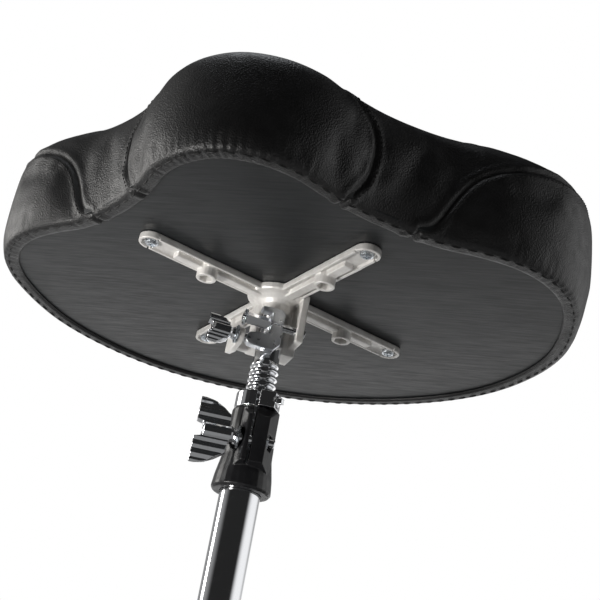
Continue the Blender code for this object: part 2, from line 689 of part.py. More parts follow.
def jaw_guide_pin(clamp):
    """Square-bodied pin that the jaw slides along, fixed in the housing's right wall."""
    limb_left = JAW_RIGHT - JAW_LIMB_WIDTH
    body = along_x(prism(polygon(GUIDE_PIN_RADIUS, 4), 0, limb_left - GAP - GUIDE_PIN_LEFT),
                   (GUIDE_PIN_LEFT, 0, 0))
    pin = piece("jaw_guide_pin", "chrome", body, clamp, (0, -pin_front(), GUIDE_PIN_Z))
    tip = HOUSING_WALL_TURN + HOUSING_WALL + 1.5 * MM
    neck_left = GUIDE_PIN_LEFT - 3 * MM
    unite(pin, along_x(cylinder(GUIDE_PIN_NECK, 0, tip - neck_left, SMALL), (neck_left, 0, 0)))


def jaw_pin_clip(clamp):
    """Open retaining ring snapped on the pin's free end."""
    right = GUIDE_PIN_LEFT - GAP
    body = along_x(ring(GUIDE_PIN_NECK + GAP / 2, PIN_CLIP_RADIUS, 0, PIN_CLIP_THICKNESS, ROUND),
                   (right - PIN_CLIP_THICKNESS, 0, 0))
    clip = piece("jaw_pin_clip", "zinc", body, clamp, (0, -pin_front(), GUIDE_PIN_Z))
    cut(clip, box((right - 5 * MM, -10 * MM, -1.6 * MM), (right + 5 * MM, 0, 1.6 * MM)))


# ---------------------------------------------------------------- wing bolts

def wing_section(span, thickness):
    """Outline across both wings: rounded tips and grip ridges that run along the bolt."""
    half = span / 2
    steps = 4 * WING_RIDGES
    side = []
    for i in range(steps + 1):
        r = -half + span * i / steps
        taper = math.sqrt(max(0.0, 1 - (abs(r) / half) ** 6))
        ridge = WING_RIDGE * math.cos(2 * math.pi * i / steps * WING_RIDGES)
        side.append((r, max(0.6 * MM, (thickness / 2 + ridge) * taper)))
    return side + [(r, -t) for r, t in reversed(side)]


def wing_side_view(size):
    """Outline of the wings seen from the side: stepped near the hub, notched at the far end."""
    half = size["span"] / 2 + MM
    start = size["wing_start"]
    far = size["length"]
    near = size["hub"] * 0.8
    upper = [(start, near), (start + MM, half * 0.56), (start + (far - start) * 0.5, half * 0.88),
             (far - 2 * MM, half), (far, half - 2 * MM), (far, near * 1.35),
             (hub_end(size) + MM, near * 1.05)]
    return upper + [(x, -y) for x, y in reversed(upper)]


def hub_end(size):
    """The hub stops short of the wings' far end."""
    return size["length"] * 0.78


def wing_bolt(name, parent, size, shank_radius, shank_length, face, height, front):
    """A cast wing on a bolt that points along +X. Its bearing face is at x = face."""
    turn = size["turn"]
    bolt_frame = empty(f"{name}_axis", parent, (face, -front, height))
    hub = size["hub"]
    body = turned([(0, shank_length), (shank_radius * 0.7, shank_length),
                   (shank_radius, shank_length - 0.8 * MM), (shank_radius, 0), (hub * 0.95, 0),
                   (hub, -1 * MM), (hub * 0.85, -3 * MM), (hub, -5 * MM),
                   (hub, 0.8 * MM - hub_end(size)), (hub * 0.8, -hub_end(size)),
                   (0, -hub_end(size))], ROUND)
    bolt = piece(name, "chrome", along_x(body), bolt_frame, rotation=(turn, 0, 0))
    section = wing_section(size["span"], WING_THICKNESS)
    near_end = size["wing_start"] / 2
    wings = extruded([(-near_end, r, t) for r, t in section],
                     (near_end + 1.5 * MM - size["length"], 0, 0))
    blades = guide_object(f"{name}_wings", wings, bolt)
    view = prism([(-x, y) for x, y in wing_side_view(size)], -WING_THICKNESS, WING_THICKNESS)
    intersect(blades, view)
    combine(bolt, "UNION", blades)


def washer(name, parent, bore, outer, face, height, front):
    """A washer on the +X side of the bearing face at x = face."""
    shape = along_x(ring(bore, outer, 0, WASHER_THICKNESS, ROUND), (0, 0, 0))
    return piece(name, "zinc", shape, parent, (face, -front, height))


def seat_wing_bolt(clamp):
    face = clamp_outer_left() - LEDGE_THICKNESS - GAP - WASHER_THICKNESS
    washer("seat_clamp_washer", clamp, SEAT_BOLT_RADIUS + SLIDE_FIT,
           SEAT_WING["hub"] + WASHER_RIM, face, SEAT_BOLT_Z, pin_front())
    wing_bolt("seat_wing_bolt", clamp, SEAT_WING, SEAT_BOLT_RADIUS, SEAT_BOLT_REACH,
              face - GAP, SEAT_BOLT_Z, pin_front())


# ---------------------------------------------------------------- spindle and lock collar

def spindle(parent):
    """Smooth shank for the seat clamp above, height thread below, slot down its front."""
    low = SPINDLE_THREAD_TOP - SPINDLE_THREAD_LENGTH
    thread = SPINDLE_THREAD_RADIUS
    shank = SPINDLE_SHANK_RADIUS
    shape = turned([(0, low), (thread - 2 * MM, low), (thread, low + 2 * MM),
                    (thread, SPINDLE_THREAD_TOP), (shank, SPINDLE_THREAD_TOP + 0.6 * MM),
                    (shank, SPINDLE_TOP - 1.2 * MM), (shank - 1 * MM, SPINDLE_TOP),
                    (0, SPINDLE_TOP)], FINE)
    rod = piece("height_spindle", "chrome", shape, parent)
    half = SPINDLE_SLOT_WIDTH / 2
    floor_of_slot = thread - SPINDLE_SLOT_DEPTH
    slot = box((floor_of_slot, -half, low - MM), (thread + MM, half, SPINDLE_THREAD_TOP + 14 * MM))
    cut(rod, moved(slot, rotation=(0, 0, SPINDLE_SLOT_TURN)))


def lock_collar(parent):
    """Split collar with a flat front and a square-headed key bolt through it."""
    low = LOCK_TOP - LOCK_HEIGHT
    bore = SPINDLE_THREAD_RADIUS + SLIDE_FIT
    collar = piece("lock_collar", "chrome", ring(bore, LOCK_RADIUS, low, LOCK_TOP, FINE, 0.8 * MM),
                   parent)
    ear = prism([(-4 * MM, -bore - MM), (-4 * MM, -LOCK_FLAT - 3 * MM), (2 * MM, -LOCK_EAR_REACH),
                 (12 * MM, -LOCK_EAR_REACH), (LOCK_RADIUS - 0.5 * MM, -9 * MM),
                 (bore * 0.645, -bore * 0.887)],
                low + 0.4 * MM, LOCK_TOP - 0.4 * MM)
    unite(collar, ear)
    split = box((SPLIT_MIDDLE - SPLIT_WIDTH / 2, -LOCK_EAR_REACH - MM, low - MM),
                (SPLIT_MIDDLE + SPLIT_WIDTH / 2, 0, LOCK_TOP + MM))
    hole = cylinder(KEY_BOLT_SHANK_RADIUS + GAP, -30 * MM, 0, SMALL)
    pocket = cylinder(KEY_BOLT_HEAD_RADIUS + GAP, 0, 20 * MM, SMALL)
    cut(collar, split, *[place_key(shape) for shape in (hole, pocket)])


def key_bolt_seat():
    return (KEY_BOLT_X, -KEY_BOLT_FRONT, LOCK_TOP - LOCK_HEIGHT / 2)


def place_key(shape):
    """A shape drawn along +Z, laid along the key bolt with its head's seat at the origin."""
    return moved(along_x(shape), key_bolt_seat(), (0, 0, KEY_BOLT_TURN))


def lock_key_bolt(parent):
    """Drum-key bolt: round shank, round head and a square for the key."""
    far = -KEY_BOLT_SHANK_LENGTH
    head = KEY_BOLT_HEAD_HEIGHT
    edge = 0.8 * MM
    shape = turned([(0, far), (KEY_BOLT_SHANK_RADIUS, far), (KEY_BOLT_SHANK_RADIUS, GAP),
                    (KEY_BOLT_HEAD_RADIUS, GAP), (KEY_BOLT_HEAD_RADIUS, head - edge),
                    (KEY_BOLT_HEAD_RADIUS - edge, head), (0, head)], SMALL)
    bolt = piece("lock_key_bolt", "chrome", along_x(shape), parent, key_bolt_seat(),
                 (0, 0, KEY_BOLT_TURN))
    half = KEY_BOLT_SQUARE / 2
    square = box((-half, -half, head - MM), (half, half, head + KEY_BOLT_SQUARE_LENGTH))
    unite(bolt, along_x(square))


# ---------------------------------------------------------------- clamp head

def head_top():
    return SEAT_HEIGHT + LOCK_TOP - LOCK_HEIGHT - GAP


def head_bolt_height():
    return head_top() - HEAD_BOLT_DROP


def clamp_head(frame):
    """Tapered casting on top of the tube, split down its front between two ears."""
    top = head_top()
    low = top - HEAD_HEIGHT
    bore = SPINDLE_THREAD_RADIUS + SLIDE_FIT
    body = turned([(0, low), (HEAD_BOTTOM_RADIUS - 1.5 * MM, low),
                   (HEAD_BOTTOM_RADIUS, low + 2 * MM), (HEAD_BOTTOM_RADIUS - 1 * MM, low + 12 * MM),
                   (HEAD_TOP_RADIUS + 1 * MM, low + 28 * MM), (HEAD_TOP_RADIUS, top - 1 * MM),
                   (HEAD_TOP_RADIUS - 1 * MM, top), (0, top)], FINE)
    head = piece("clamp_head", "black_paint", body, frame)
    ear_low = top - EAR_LENGTH
    side_view = [(-0.5 * MM, top - 0.6 * MM), (-15 * MM, top - 0.6 * MM),
                 (-EAR_FRONT, top - EAR_TOP_SLOPE), (-EAR_FRONT, ear_low),
                 (-16 * MM, ear_low - 4 * MM), (-0.5 * MM, ear_low - 4 * MM)]
    plan = [(EAR_LEFT, 0), (EAR_LEFT, -20 * MM), (-7 * MM, 1 * MM - EAR_FRONT),
            (-5 * MM, -EAR_FRONT - MM), (10 * MM, -EAR_FRONT - MM), (EAR_RIGHT, -11 * MM),
            (EAR_RIGHT, 0)]
    ears = guide_object("clamp_head_ears", side_prism(side_view, -30 * MM, 30 * MM), head)
    intersect(ears, prism(plan, low - MM, top + MM))
    combine(head, "UNION", ears)
    socket_top = low + TUBE_INSERTION + GAP
    split = box((SPLIT_MIDDLE - SPLIT_WIDTH / 2, -EAR_FRONT - 2 * MM, ear_low - 1.5 * MM),
                (SPLIT_MIDDLE + SPLIT_WIDTH / 2, 0, top + MM))
    bolt = along_x(cylinder(HEAD_BOLT_RADIUS + SLIDE_FIT, -40 * MM, 40 * MM, SMALL),
                   (0, -HEAD_BOLT_FRONT, head_bolt_height()))
    flat = EAR_LEFT + 0.4 * MM
    spot = along_x(cylinder(HEAD_WING["hub"] + WASHER_RIM + 1 * MM, -20 * MM, 0, ROUND),
                   (flat, -HEAD_BOLT_FRONT, head_bolt_height()))
    nut_seat = along_x(prism(polygon(HEAD_NUT_RADIUS + GAP, 6, 30), 0, 20 * MM),
                       (nut_seat_x(), -HEAD_BOLT_FRONT, head_bolt_height()))
    cut(head,
        cylinder(bore, low + TUBE_INSERTION, top + MM, FINE),
        cylinder(NUT_RADIUS + GAP, socket_top - MM, socket_top + NUT_HEIGHT + GAP, FINE),
        cylinder(TUBE_RADIUS + GAP, low - MM, socket_top, FINE),
        split, bolt, spot, nut_seat)


def nut_seat_x():
    """Face inside the right ear that the head bolt's nut pulls against."""
    return 6.5 * MM


def height_nut(frame):
    """Threaded insert that carries the spindle, held down in the head by the tube's top."""
    low = head_top() - HEAD_HEIGHT + TUBE_INSERTION + GAP
    bore = SPINDLE_THREAD_RADIUS + SLIDE_FIT
    piece("height_nut", "zinc", ring(bore, NUT_RADIUS, low, low + NUT_HEIGHT, FINE), frame)


def head_fasteners(frame):
    height = head_bolt_height()
    washer_face = EAR_LEFT + 0.4 * MM - GAP - WASHER_THICKNESS
    washer("head_clamp_washer", frame, HEAD_BOLT_RADIUS + SLIDE_FIT,
           HEAD_WING["hub"] + WASHER_RIM, washer_face, height, HEAD_BOLT_FRONT)
    reach = nut_seat_x() + HEAD_NUT_THICKNESS + 6 * MM - washer_face
    wing_bolt("head_wing_bolt", frame, HEAD_WING, HEAD_BOLT_RADIUS, reach,
              washer_face - GAP, height, HEAD_BOLT_FRONT)
    shape = prism(polygon(HEAD_NUT_RADIUS, 6, 30), 0, HEAD_NUT_THICKNESS)
    nut = piece("head_clamp_nut", "zinc", along_x(shape), frame,
                (nut_seat_x() + GAP, -HEAD_BOLT_FRONT, height))
    cut(nut, along_x(cylinder(HEAD_BOLT_RADIUS + SLIDE_FIT, -MM, 20 * MM, SMALL)))


# ---------------------------------------------------------------- tube and base collar

def tube_top():
    return head_top() - HEAD_HEIGHT + TUBE_INSERTION


def stand_tube(frame):
    inner = TUBE_RADIUS - TUBE_WALL
    piece("stand_tube", "chrome", ring(inner, TUBE_RADIUS, TUBE_BOTTOM, tube_top(), FINE), frame)
    bore = inner - GAP
    low = TUBE_BOTTOM - GAP - PLUG_FLANGE
    shape = turned([(0, low), (TUBE_RADIUS - MM, low), (TUBE_RADIUS, low + MM),
                    (TUBE_RADIUS, TUBE_BOTTOM - GAP), (bore, TUBE_BOTTOM - GAP),
                    (bore, TUBE_BOTTOM + PLUG_DEPTH), (0, TUBE_BOTTOM + PLUG_DEPTH)], FINE)
    piece("tube_end_plug", "black_nylon", shape, frame)


def leg_turns():
    return [FIRST_LEG_TURN + 360 * i / len(LEG_NAMES) for i in range(len(LEG_NAMES))]


def between_legs():
    """Direction half way between the first two legs, in degrees about Z."""
    return FIRST_LEG_TURN + 180 / len(LEG_NAMES)


def round_tip(centre_x, centre_z, radius):
    """Points of a half circle that bulges towards +X."""
    return [(centre_x + radius * math.cos(a), centre_z + radius * math.sin(a))
            for a in (math.radians(d) for d in range(-90, 91, TIP_STEP))]


def lug(pivot_radius, half_inner, half_outer, tip, height, root):
    """Plates standing out from a collar along +X, with round tips about the pivot."""
    outline = [(root, height - tip), *round_tip(pivot_radius, height, tip), (root, height + tip)]
    sides = [(half_inner, half_outer), (-half_outer, -half_inner)] if half_inner else [
        (-half_outer, half_outer)]
    return [extruded([(x, low, z) for x, z in outline], (0, high - low, 0)) for low, high in sides]


def across(shape, location=(0, 0, 0)):
    """A shape drawn along +Z, laid along +Y."""
    return moved(shape, location, (-90, 0, 0))


def tongue_half():
    return LEG_WIDTH / 2 + SIDE_PLAY


def base_collar(frame):
    """Collar fixed near the tube's foot, with one tongue for each pair of struts."""
    low = STRUT_PIVOT_HEIGHT - BASE_COLLAR_HEIGHT / 2
    high = low + BASE_COLLAR_HEIGHT
    outer = TUBE_RADIUS + GAP + COLLAR_WALL
    body = ring(TUBE_RADIUS + GAP, outer, low, high, FINE, 0.8 * MM)
    collar = piece("base_collar", "black_paint", body, frame)
    tip = STRUT_WIDTH / 2
    for turn in leg_turns():
        tongue = lug(STRUT_PIVOT_RADIUS, 0, tongue_half(), tip, STRUT_PIVOT_HEIGHT,
                     TUBE_RADIUS + 2 * MM)
        unite(collar, *[moved(shape, rotation=(0, 0, turn)) for shape in tongue])
    for turn in leg_turns():
        hole = across(cylinder(PIN_RADIUS + GAP, -20 * MM, 20 * MM, SMALL),
                      (STRUT_PIVOT_RADIUS, 0, STRUT_PIVOT_HEIGHT))
        cut(collar, moved(hole, rotation=(0, 0, turn)))
    hole = along_x(cylinder(SET_SCREW_RADIUS + GAP, 0, 20 * MM, SMALL),
                   (TUBE_RADIUS - MM, 0, STRUT_PIVOT_HEIGHT))
    cut(collar, moved(hole, rotation=(0, 0, between_legs())))
    base_set_screw(frame)


def base_set_screw(frame):
    """Headless screw with a hexagon socket, holding the base collar on the tube."""
    length = SET_SCREW_LENGTH
    screw_frame = empty("base_screw_frame", frame, (0, 0, STRUT_PIVOT_HEIGHT), between_legs())
    screw = piece("base_set_screw", "zinc", along_x(cylinder(SET_SCREW_RADIUS, 0, length, SMALL)),
                  screw_frame, (TUBE_RADIUS + GAP, 0, 0))
    socket = prism(polygon(SET_SCREW_RADIUS * 0.6, 6), length * 0.55, length + MM)
    cut(screw, along_x(socket))


def slider(frame):
    """Collar that slides on the tube and carries the legs' inner ends, with its nylon liner."""
    carrier = empty("slider_axis", frame, (0, 0, LEG_PIVOT_HEIGHT))
    half = SLIDER_HEIGHT / 2
    inner = TUBE_RADIUS + SLIDE_FIT
    liner = ring(inner, inner + SLIDER_LINER, -half + MM, half - MM, FINE)
    piece("slider_liner", "black_nylon", liner, carrier)
    bore = inner + SLIDER_LINER + GAP
    collar = piece("sliding_collar", "black_paint",
                   ring(bore, bore + COLLAR_WALL, -half, half, FINE, 0.8 * MM), carrier)
    inside = LEG_WIDTH / 2 + SIDE_PLAY
    for turn in leg_turns():
        plates = lug(LEG_PIVOT_RADIUS, inside, inside + SLIDER_LUG, LEG_DEPTH / 2, 0,
                     bore + 1.5 * MM)
        unite(collar, *[moved(shape, rotation=(0, 0, turn)) for shape in plates])
    for turn in leg_turns():
        hole = across(cylinder(PIN_RADIUS + GAP, -20 * MM, 20 * MM, SMALL),
                      (LEG_PIVOT_RADIUS, 0, 0))
        cut(collar, moved(hole, rotation=(0, 0, turn)))
    slider_bolt(carrier, collar, bore)
    return carrier


def slider_bolt(carrier, collar, bore):
    """Boss on the collar between two legs, with the washer and wing bolt that lock it."""
    inwards = between_legs() + 180
    bolt_frame = empty("slider_bolt_frame", carrier, (0, 0, 0), inwards)
    face = -(bore + COLLAR_WALL + SLIDER_BOSS_LENGTH)
    boss = along_x(cylinder(SLIDER_BOSS_RADIUS, face, -bore - MM, ROUND))
    hole = along_x(cylinder(SLIDER_BOLT_RADIUS + GAP, face - MM, -bore + MM, SMALL))
    unite(collar, moved(boss, rotation=(0, 0, inwards)))
    cut(collar, moved(hole, rotation=(0, 0, inwards)))
    washer_face = face - GAP - WASHER_THICKNESS
    washer("slider_washer", bolt_frame, SLIDER_BOLT_RADIUS + GAP,
           COLLAR_WING["hub"] + WASHER_RIM, washer_face, 0, 0)
    reach = -(bore + GAP) - washer_face
    wing_bolt("slider_wing_bolt", bolt_frame, COLLAR_WING, SLIDER_BOLT_RADIUS, reach,
              washer_face - GAP, 0, 0)


# ---------------------------------------------------------------- legs, struts and feet

def leg_slope():
    """Angle of a leg below the horizontal, in degrees."""
    drop = LEG_PIVOT_HEIGHT - LEG_END_HEIGHT
    return math.degrees(math.atan2(drop, FOOT_CIRCLE - LEG_PIVOT_RADIUS))


def leg_length():
    return math.hypot(FOOT_CIRCLE - LEG_PIVOT_RADIUS, LEG_PIVOT_HEIGHT - LEG_END_HEIGHT)


def strut_join():
    """Distance from the axis and height of the rivet joining a leg to its struts."""
    slope = math.radians(leg_slope())
    return (LEG_PIVOT_RADIUS + STRUT_JOIN * math.cos(slope),
            LEG_PIVOT_HEIGHT - STRUT_JOIN * math.sin(slope))


def strut_run():
    """Length of a strut between its pivots, and its angle above the horizontal in degrees."""
    radius, height = strut_join()
    out = radius - STRUT_PIVOT_RADIUS
    up = height - STRUT_PIVOT_HEIGHT
    return math.hypot(out, up), math.degrees(math.atan2(up, out))


def hinge_pin(name, half_length, parent):
    """Headed pin lying along Y."""
    shape = turned([(0, -half_length - PIN_HEAD_THICKNESS),
                    (PIN_HEAD_RADIUS - MM, -half_length - PIN_HEAD_THICKNESS),
                    (PIN_HEAD_RADIUS, -half_length), (PIN_RADIUS, -half_length),
                    (PIN_RADIUS, half_length), (PIN_HEAD_RADIUS, half_length),
                    (PIN_HEAD_RADIUS - MM, half_length + PIN_HEAD_THICKNESS),
                    (0, half_length + PIN_HEAD_THICKNESS)], SMALL)
    return piece(name, "chrome", across(shape), parent)


def tripod_leg(place, turn, carrier):
    """Rectangular tube from the sliding collar to the foot, open at both ends."""
    spoke = empty(f"{place}_leg_spoke", carrier, (0, 0, 0), turn)
    pivot = empty(f"{place}_leg_pivot", spoke, (LEG_PIVOT_RADIUS, 0, 0))
    hinge_pin(f"{place}_leg_pin", LEG_WIDTH / 2 + SIDE_PLAY + SLIDER_LUG + GAP, pivot)
    start = -LEG_DEPTH / 2 + MM
    end = leg_length()
    outer = box((start, -LEG_WIDTH / 2, -LEG_DEPTH / 2), (end, LEG_WIDTH / 2, LEG_DEPTH / 2))
    leg = piece(f"{place}_leg", "black_paint", outer, pivot, (0, 0, 0), (0, leg_slope(), 0))
    round_edges(leg, LEG_EDGE)
    wide = LEG_WIDTH / 2 - LEG_WALL
    deep = LEG_DEPTH / 2 - LEG_WALL
    cut(leg, box((start - MM, -wide, -deep), (end + MM, wide, deep)),
        across(cylinder(PIN_RADIUS + GAP, -20 * MM, 20 * MM, SMALL)))
    foot(place, pivot)


def foot(place, pivot):
    """Rubber boot: a round pad on the floor and a sleeve over the leg's outer end."""
    slope = leg_slope()
    end_x = FOOT_CIRCLE - LEG_PIVOT_RADIUS
    floor_z = -LEG_PIVOT_HEIGHT
    pad = turned([(0, 0), (FOOT_RADIUS - 2 * MM, 0), (FOOT_RADIUS, 2 * MM),
                  (FOOT_RADIUS, FOOT_HEIGHT * 0.5), (FOOT_RADIUS - 4 * MM, FOOT_HEIGHT),
                  (0, FOOT_HEIGHT)], ROUND)
    boot = piece(f"{place}_foot", "rubber", moved(pad, (end_x, 0, floor_z)), pivot)
    wide = LEG_WIDTH / 2 + FOOT_WALL
    deep = LEG_DEPTH / 2 + FOOT_WALL
    length = leg_length()
    past = FOOT_SLEEVE_PAST
    sleeve = guide_object(f"{place}_foot_sleeve",
                          box((length - FOOT_SLEEVE + past, -wide, -deep),
                              (length + past, wide, deep)), boot)
    sleeve.rotation_euler = (0, math.radians(slope), 0)
    round_edges(sleeve, FOOT_EDGE)
    combine(boot, "UNION", sleeve)
    inside = box((length - FOOT_SLEEVE, -LEG_WIDTH / 2 - GAP, -LEG_DEPTH / 2 - GAP),
                 (length + GAP, LEG_WIDTH / 2 + GAP, LEG_DEPTH / 2 + GAP))
    below = box((0, -50 * MM, floor_z - 30 * MM), (end_x + 60 * MM, 50 * MM, floor_z))
    cut(boot, moved(inside, (0, 0, 0), (0, slope, 0)), below)


def strut_pair(place, turn, frame):
    """Two flat bars, one each side of the tongue and the leg, with a rivet head outside."""
    spoke = empty(f"{place}_strut_spoke", frame, (0, 0, 0), turn)
    pivot = empty(f"{place}_strut_pivot", spoke, (STRUT_PIVOT_RADIUS, 0, STRUT_PIVOT_HEIGHT))
    length, rise = strut_run()
    near = tongue_half() + GAP
    hinge_pin(f"{place}_strut_pin", near + STRUT_THICKNESS + GAP, pivot)
    half = STRUT_WIDTH / 2
    outline = round_tip(length, 0, half) + [(-x, -z) for x, z in round_tip(0, 0, half)]
    for hand, side in (("left", 1), ("right", -1)):
        bar = extruded([(x, side * near, z) for x, z in outline],
                       (0, side * STRUT_THICKNESS, 0))
        strut = piece(f"{place}_strut_{hand}", "black_paint", bar, pivot, (0, 0, 0),
                      (0, -rise, 0))
        cut(strut, across(cylinder(PIN_RADIUS + GAP, -30 * MM, 30 * MM, SMALL)))
        outside = side * (near + STRUT_THICKNESS)
        head = turned([(0, -MM), (PIN_HEAD_RADIUS, -MM), (PIN_HEAD_RADIUS - 0.6 * MM, MM),
                       (0, 2.2 * MM)], SMALL)
        head = moved(head, (0, 0, 0), (-90 * side, 0, 0))
        unite(strut, moved(head, (length, outside, 0)))


# ---------------------------------------------------------------- the whole throne

def model_bounds():
    """Lowest and highest corner of all pieces, in world space."""
    bpy.context.view_layer.update()
    graph = bpy.context.evaluated_depsgraph_get()
    corners = []
    for thing in bpy.data.objects:
        if thing.type == "MESH" and not thing.hide_render:
            solid = thing.evaluated_get(graph)
            corners += [solid.matrix_world @ v.co for v in solid.data.vertices]
    low = [min(c[i] for c in corners) for i in range(3)]
    high = [max(c[i] for c in corners) for i in range(3)]
    return low, high


def centre_on_floor(root):
    """Put the origin on the floor, in the middle of the throne's bounding box."""
    low, high = model_bounds()
    root.location = (-(low[0] + high[0]) / 2, -(low[1] + high[1]) / 2, -low[2])


def build():
    clear_scene()
    root = empty("throne")
    seat = empty("seat_frame", root, (0, 0, SEAT_HEIGHT))
    clamp = empty("seat_clamp_frame", seat, (0, 0, 0), CLAMP_TURN)
    head = empty("head_frame", root, (0, 0, 0), HEAD_TURN)
    lock = empty("lock_frame", seat, (0, 0, 0), HEAD_TURN)
    outline = board_outline()
    seat_cover(seat, outline)
    seat_foam(seat, outline)
    seat_board(seat, outline)
    tee_nuts(seat)
    bracket_screws(seat)
    seat_bracket(seat)
    seat_clamp_jaw(clamp)
    jaw_guide_pin(clamp)
    jaw_pin_clip(clamp)
    seat_wing_bolt(clamp)
    spindle(seat)
    lock_collar(lock)
    lock_key_bolt(lock)
    clamp_head(head)
    height_nut(head)
    head_fasteners(head)
    stand_tube(root)
    base_collar(root)
    carrier = slider(root)
    for place, turn in zip(LEG_NAMES, leg_turns()):
        tripod_leg(place, turn, carrier)
        strut_pair(place, turn, root)
    centre_on_floor(root)


build()
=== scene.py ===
"""Looks of the drum throne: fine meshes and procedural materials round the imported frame."""
import json
import math

import bmesh
import bpy
import numpy as np
from mathutils import Matrix, Vector

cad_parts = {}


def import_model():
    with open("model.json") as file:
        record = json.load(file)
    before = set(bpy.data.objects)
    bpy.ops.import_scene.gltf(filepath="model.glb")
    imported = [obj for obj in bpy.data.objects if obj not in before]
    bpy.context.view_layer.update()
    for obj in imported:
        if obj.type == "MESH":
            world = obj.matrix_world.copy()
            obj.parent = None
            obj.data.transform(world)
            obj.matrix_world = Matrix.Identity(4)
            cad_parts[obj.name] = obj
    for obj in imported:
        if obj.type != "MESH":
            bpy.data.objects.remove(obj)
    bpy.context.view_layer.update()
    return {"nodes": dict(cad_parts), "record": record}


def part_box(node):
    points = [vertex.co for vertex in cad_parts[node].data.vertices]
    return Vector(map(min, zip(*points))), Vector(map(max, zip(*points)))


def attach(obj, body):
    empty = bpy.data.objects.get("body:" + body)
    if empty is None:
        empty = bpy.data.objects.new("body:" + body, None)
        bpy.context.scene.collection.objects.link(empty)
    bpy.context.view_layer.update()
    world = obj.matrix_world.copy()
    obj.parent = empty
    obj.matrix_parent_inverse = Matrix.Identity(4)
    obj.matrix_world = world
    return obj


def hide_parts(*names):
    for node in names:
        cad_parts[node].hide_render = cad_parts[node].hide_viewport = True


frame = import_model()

MM = 0.001
NODES = frame["nodes"]

# Where things are, read from the frame
BOARD_LOW, BOARD_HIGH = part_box("seat_board")
TUBE_LOW, TUBE_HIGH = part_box("stand_tube")
SPINDLE_LOW, SPINDLE_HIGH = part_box("height_spindle")
AXIS = Vector(((TUBE_LOW.x + TUBE_HIGH.x) / 2, (TUBE_LOW.y + TUBE_HIGH.y) / 2))
SEAT_Z = BOARD_LOW.z
TUBE_RADIUS = (TUBE_HIGH.x - TUBE_LOW.x) / 2

# Cushion cover
ROUND_STEPS = 960               # columns round the seat
COVER_STEPS = 150               # rows from the hem's inner edge to the middle of the top
SIM_SHARE = 4                   # the simulated grid has one point for every four of the fine one
SCREW_KEEP_OUT = 25 * MM
REAR_RISE = 0.17
SEAM_DEPTH = 1.7 * MM
SEAM_WIDTH = 1.5 * MM
SEAM_PUFF = 0.9 * MM
SEAM_PUFF_AT = 4.5 * MM
TOPSTITCH_OFFSET = 5.0 * MM
STITCH_LENGTH = 3.0 * MM
STITCH_GAP = 1.3 * MM
STITCH_RADIUS = 0.42 * MM
HEM_STITCH_LENGTH = 9.0 * MM
HEM_STITCH_GAP = 3.5 * MM
HEM_STITCH_RADIUS = 0.8 * MM
HEM_STITCH_AT = 9.5 * MM        # from the hem's inner edge
PUFF_LIMIT = 4.0 * MM
SIDE_TOP = 108 * MM              # seams stay below this height

# Profile of the cover from the hem's inner edge up: millimetres outwards from the board's edge,
# share of the outline's size, height above the board's underside in millimetres
PROFILE = [
    (-13.0, 1.0, -0.5), (-13.0, 1.0, -1.6), (-12.0, 1.0, -2.3), (-8.0, 1.0, -2.5),
    (-3.0, 1.0, -2.4), (-0.6, 1.0, -1.0), (0.8, 1.0, 2.5), (1.8, 1.0, 9.0),
    (3.0, 1.0, 22.0), (3.8, 1.0, 40.0), (4.0, 1.0, 58.0), (3.6, 1.0, 74.0),
    (2.2, 1.0, 85.0), (-0.8, 1.0, 91.5), (-1.0, 0.975, 96.5), (0.0, 0.92, 100.0),
    (0.0, 0.82, 103.5), (0.0, 0.62, 107.0), (0.0, 0.36, 109.5), (0.0, 0.12, 110.0),
    (0.0, 0.005, 110.0),
]

# Seams on the right half: share of the way round from the nose, height in millimetres
NOSE_SEAM = [(0.069, -2.3), (0.0725, 8.0), (0.0765, 20.0), (0.0785, 40.0), (0.078, 57.0),
             (0.075, 70.0), (0.069, 80.0), (0.061, 92.0)]
HIP_SEAM = [(0.108, -2.3), (0.1165, 4.0), (0.1215, 14.0), (0.1265, 30.0), (0.133, 47.0),
            (0.14, 59.0), (0.1495, 69.0), (0.162, 77.0), (0.178, 84.0), (0.196, 88.5),
            (0.215, 90.5), (0.25, 91.5), (0.32, 92.0), (0.41, 92.0), (0.5, 92.0)]


# ---------------------------------------------------------------- materials

